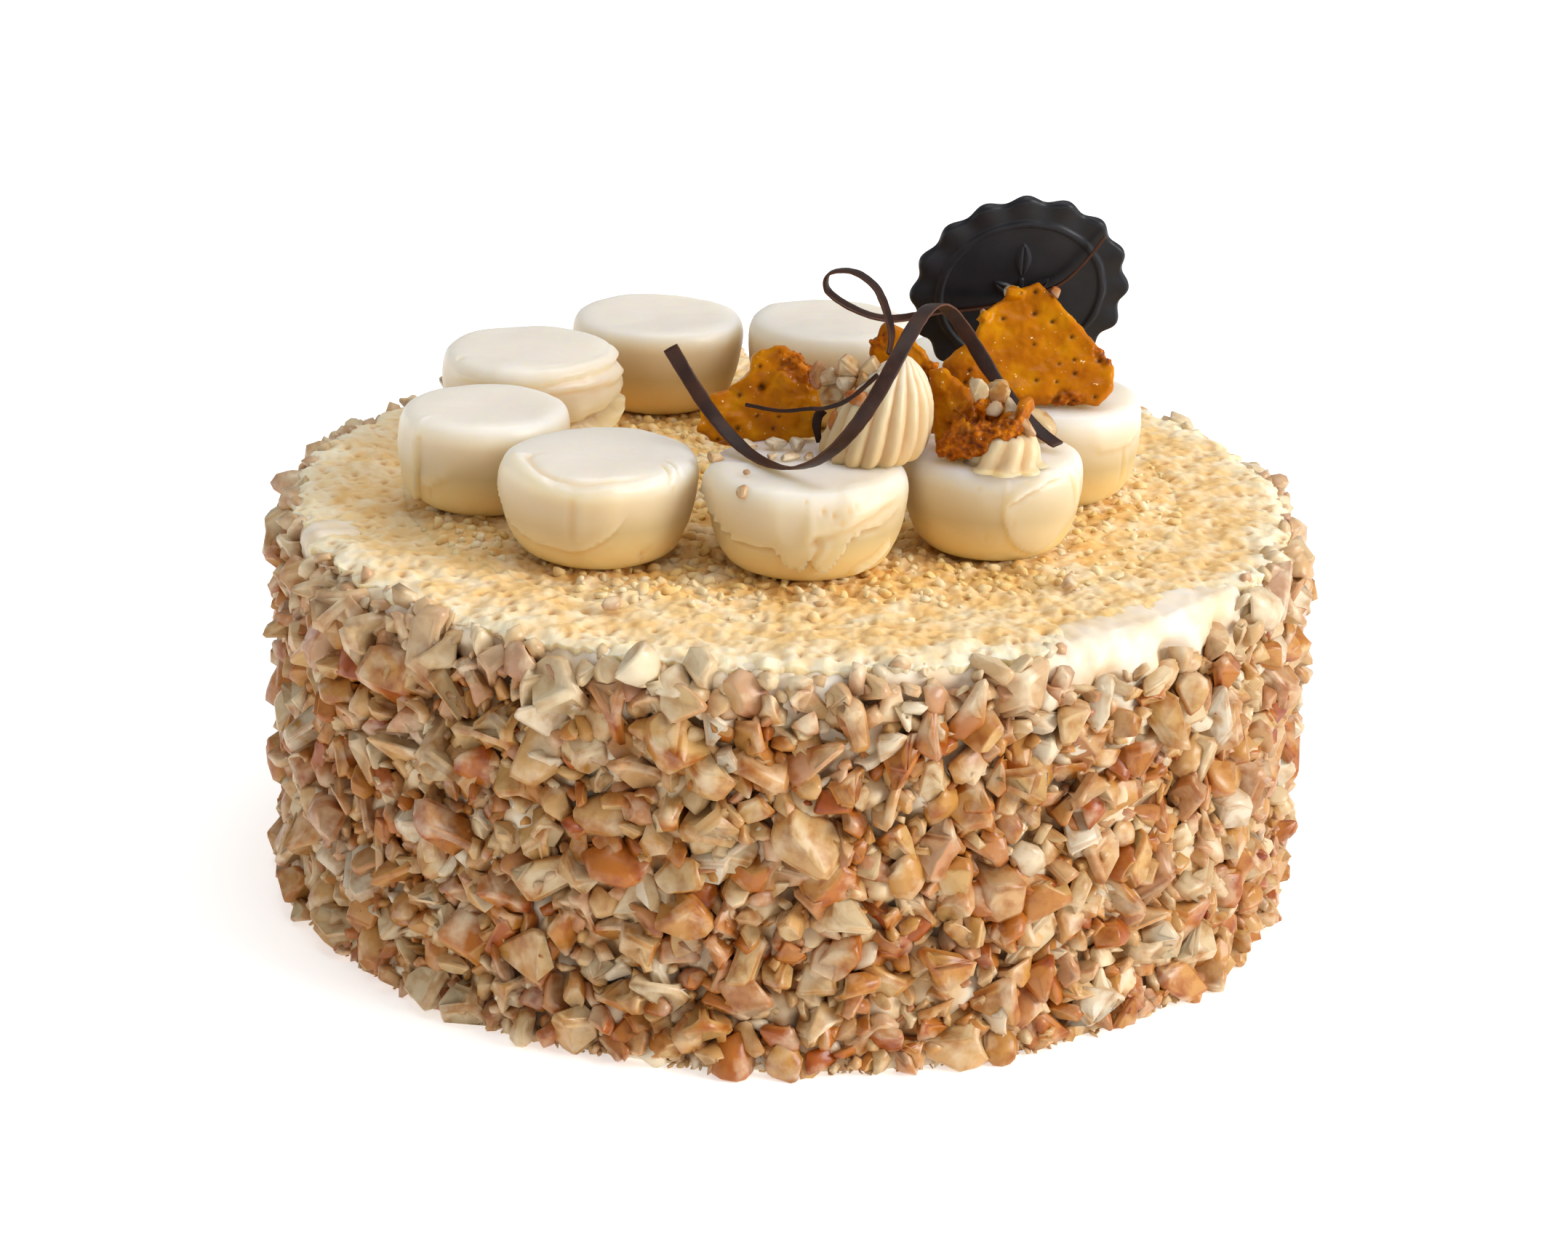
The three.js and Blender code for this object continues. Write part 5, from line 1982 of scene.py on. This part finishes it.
@dataclass
class LooseNuts:
    """The nuts that lie one by one on the rounds, the rosette, the brittle and the crumbs."""

    depth: float = 0.7
    first_seed: int = 700

    def toppings(self) -> list[Topping]:
        """Lists where each nut lies.

        Returns:
            The nuts, in the order of their random draws.
        """
        up, front = (0.1, -0.2, 1.0), Topping.facing
        return [
            Topping((9.8, -35.8, 111.0), 5.0, 4.2, Tone.PALE),
            Topping((13.2, -36.0, 110.8), 4.6, 4.0, Tone.PALE, front, 20),
            Topping((9.4, -36.8, 107.9), 4.0, 3.0, Tone.WHITE),
            Topping((12.0, -37.6, 108.4), 3.4, 3.4, Tone.BEIGE, front, 50),
            Topping((11.2, -41.4, 106.6), 4.6, 3.2, Tone.TAN, front, -20),
            Topping((4.2, -33.4, 108.2), 3.4, 5.4, Tone.PINKISH, front, 10),
            Topping((6.2, -33.8, 108.0), 3.6, 3.8, Tone.WHITE),
            Topping((6.8, -33.8, 104.8), 5.0, 4.6, Tone.PALE, front, 35),
            Topping((7.2, -39.6, 101.5), 1.8, 4.0, Tone.TAN),
            Topping((9.0, -35.0, 103.4), 3.6, 4.6, Tone.BEIGE, front, 25),
            Topping((7.6, -34.6, 99.6), 3.4, 4.0, Tone.BEIGE),
            Topping((8.2, -35.2, 96.9), 3.0, 3.0, Tone.PALE),
            Topping((-3.7, -43.6, 95.6), 2.4, 2.0, Tone.WHITE, up),
            Topping((-0.5, -43.0, 95.6), 4.2, 2.0, Tone.WHITE, up, 15),
            Topping((2.9, -42.4, 95.6), 3.0, 1.8, Tone.WHITE, up, 60),
            Topping((-14.2, -44.4, 95.6), 3.2, 3.0, Tone.BEIGE, up, 30),
            Topping((-8.4, -38.6, 96.0), 4.0, 3.0, Tone.WHITE, up, 30),
            Topping((-3.2, -37.2, 96.2), 4.2, 3.0, Tone.WHITE, up),
            Topping((0.8, -37.6, 96.2), 4.0, 3.0, Tone.WHITE, up, 70),
            Topping((33.6, -36.6, 107.2), 3.8, 5.6, Tone.PALE, front, 15),
            Topping((36.8, -36.8, 106.8), 4.8, 5.0, Tone.BEIGE),
            Topping((39.0, -38.4, 104.6), 2.8, 4.0, Tone.WHITE, front, 40),
            Topping((36.4, -38.4, 104.2), 3.4, 3.2, Tone.WHITE, front, 65),
            Topping((41.4, -42.8, 102.6), 6.2, 3.0, Tone.PINKISH, front, -20),
            Topping((44.6, -25.4, 97.8), 9.4, 7.0, Tone.PALE, (0.2, -0.9, 0.8), -40),
            Topping((41.2, 0.4, 116.0), 3.6, 2.6, Tone.WHITE, front, 10),
            Topping((36.0, -1.8, 111.8), 2.4, 3.0, Tone.PINKISH, front, 40),
            Topping((49.4, -0.6, 116.4), 1.9, 2.4, Tone.ORANGE),
            Topping((-31.0, -73.7, 77.6), 4.2, 3.4, Tone.PINKISH, up),
            Topping((50.2, -55.2, 77.6), 5.0, 3.6, Tone.PINKISH, up, 20),
            Topping((-8.1, -53.0, 95.6), 1.4, 1.4, Tone.TAN, up),
            Topping((-8.9, -58.6, 93.8), 2.6, 2.6, Tone.TAN, (-0.5, -0.8, 0.6)),
        ]

    def build(self, material: Material) -> None:
        """Shapes each nut, lays it in its place and joins them all.

        Args:
            material: the nuts' finish.
        """
        points, faces, skins, tones = [], [], [], []
        start = 0
        for index, nut in enumerate(self.toppings()):
            shape = NutShape(self.first_seed + index, segments=10, rings=7, worn=0.3)
            chip, loops, skin = shape.chip()
            size = np.array((nut.width, nut.height, self.depth * min(nut.width, nut.height)))
            chip *= size / np.ptp(chip, axis=0)
            basis = Vector(nut.facing).to_track_quat("Z", "Y").to_matrix()
            basis = basis @ Matrix.Rotation(math.radians(nut.turn), 3, "Z")
            points.append(chip @ np.array(basis).T + nut.place)
            faces += [tuple(corner + start for corner in loop) for loop in loops]
            skins.append(skin)
            tones.append(np.full(len(chip), nut.tone.value))
            start += len(chip)
        mesh = new_mesh("loose_nuts", np.vstack(points), faces,
                        {"skin": np.concatenate(skins), "tone": np.concatenate(tones)})
        new_piece("loose_nuts", mesh, material, Slot.NUT_CRUST)


@dataclass(frozen=True)
class SoftLight:
    """A large soft light, far enough away to shine on everything alike."""

    name: str
    comes_from: Point
    strength: float
    spread: float
    tint: str = "#FFFFFF"

    def build(self) -> None:
        """Adds the light and turns it."""
        data = bpy.data.lights.new(self.name, "SUN")
        data.energy = self.strength
        data.angle = math.radians(self.spread)
        data.color = linear(self.tint)[:3]
        lamp = new_object(self.name, data)
        lamp.rotation_euler = Vector(self.comes_from).to_track_quat("Z", "Y").to_euler()


@dataclass
class Studio:
    """A pale floor, soft light from the front right and above, and the photograph's camera."""

    focal_pixels: float = 4500.0
    image_width: float = 2156.0
    sensor: float = 36.0
    distance: float = 650.0
    elevation: float = 20.56
    roll: float = 1.55
    target: Point = (-0.75, 0.0, 46.4)
    clip: Span = (0.01, 50.0)
    floor_half: float = 4000.0
    floor_gap: float = 0.05
    sky: float = 0.37
    lights: tuple[SoftLight, ...] = (
        SoftLight("window", (0.91, -0.34, 0.42), 2.5, 30.0, "#FFFCF8"),
        SoftLight("ceiling", (0.15, 0.1, 1.0), 1.08, 50.0),
    )

    def camera(self) -> None:
        """Sets the camera by its elevation, distance and roll."""
        rise, roll = math.radians(self.elevation), math.radians(self.roll)
        forward = Vector((0, math.cos(rise), -math.sin(rise)))
        right = Vector((1, 0, 0))
        up = right.cross(forward)
        across = right * math.cos(roll) + up * math.sin(roll)
        upright = up * math.cos(roll) - right * math.sin(roll)
        data = bpy.data.cameras.new("camera")
        data.sensor_width = self.sensor
        data.sensor_fit = "HORIZONTAL"
        data.lens = self.sensor * self.focal_pixels / self.image_width
        data.clip_start, data.clip_end = self.clip
        camera = new_object("camera", data)
        place = Matrix((across, upright, -forward)).transposed().to_4x4()
        place.translation = (Vector(self.target) - forward * self.distance) * MM
        camera.matrix_world = place
        bpy.context.scene.camera = camera

    def floor(self) -> None:
        """Lays a wide sheet of white paper under the cake."""
        half = self.floor_half
        corners = np.array([(-half, -half, 0), (half, -half, 0), (half, half, 0), (-half, half, 0)])
        mesh = new_mesh("floor", corners - (0.0, 0.0, self.floor_gap), [(0, 1, 2, 3)])
        mesh.materials.append(Paper("background_paper", 0.8, glow=0.5).build())
        sheet = new_object("floor", mesh)

    def build(self) -> None:
        """Sets the studio up."""
        scene = bpy.context.scene
        scene.view_settings.view_transform = "Standard"
        world = bpy.data.worlds.new("studio")
        world.use_nodes = True
        background = world.node_tree.nodes["Background"]
        background.inputs["Color"].default_value = linear("#FFFFFF")
        background.inputs["Strength"].default_value = self.sky
        scene.world = world
        self.camera()
        self.floor()
        for light in self.lights:
            light.build()


def main() -> None:
    """Builds the studio and the cake, logging each piece's face count as it is made."""
    logging.basicConfig(level=logging.INFO, format="%(message)s")
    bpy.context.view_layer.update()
    Studio().build()
    nut = ChoppedNut("roasted_chopped_nut", 0.34, coat=0.12, coat_roughness=0.2,
                     bump_size=0.8, bump_height=0.03).build()
    wall = WallCream("wall_buttercream", 0.45, subsurface=0.2).build()
    crumb = CakeCrumb("moist_cake_crumb", 0.75, subsurface=0.6, bleed=(2.0, 1.5, 0.9),
                      bump_size=0.6, bump_height=0.08).build()
    sandy = ((0.0, "#B08A5C"), (0.5, "#C29C6E"), (1.0, "#D2B080"))
    sand = CakeCrumb("toasted_cake_crumb", 0.85, tan=sandy, pale=sandy, edge=sandy).build()
    body = CakeBody()
    body.build_core(wall)
    body.build_crust(nut)
    body.build_bed(crumb)
    body.build_foot(sand)
    Decoration().build()
    LooseNuts().build(nut)


if __name__ == "__main__":
    main()
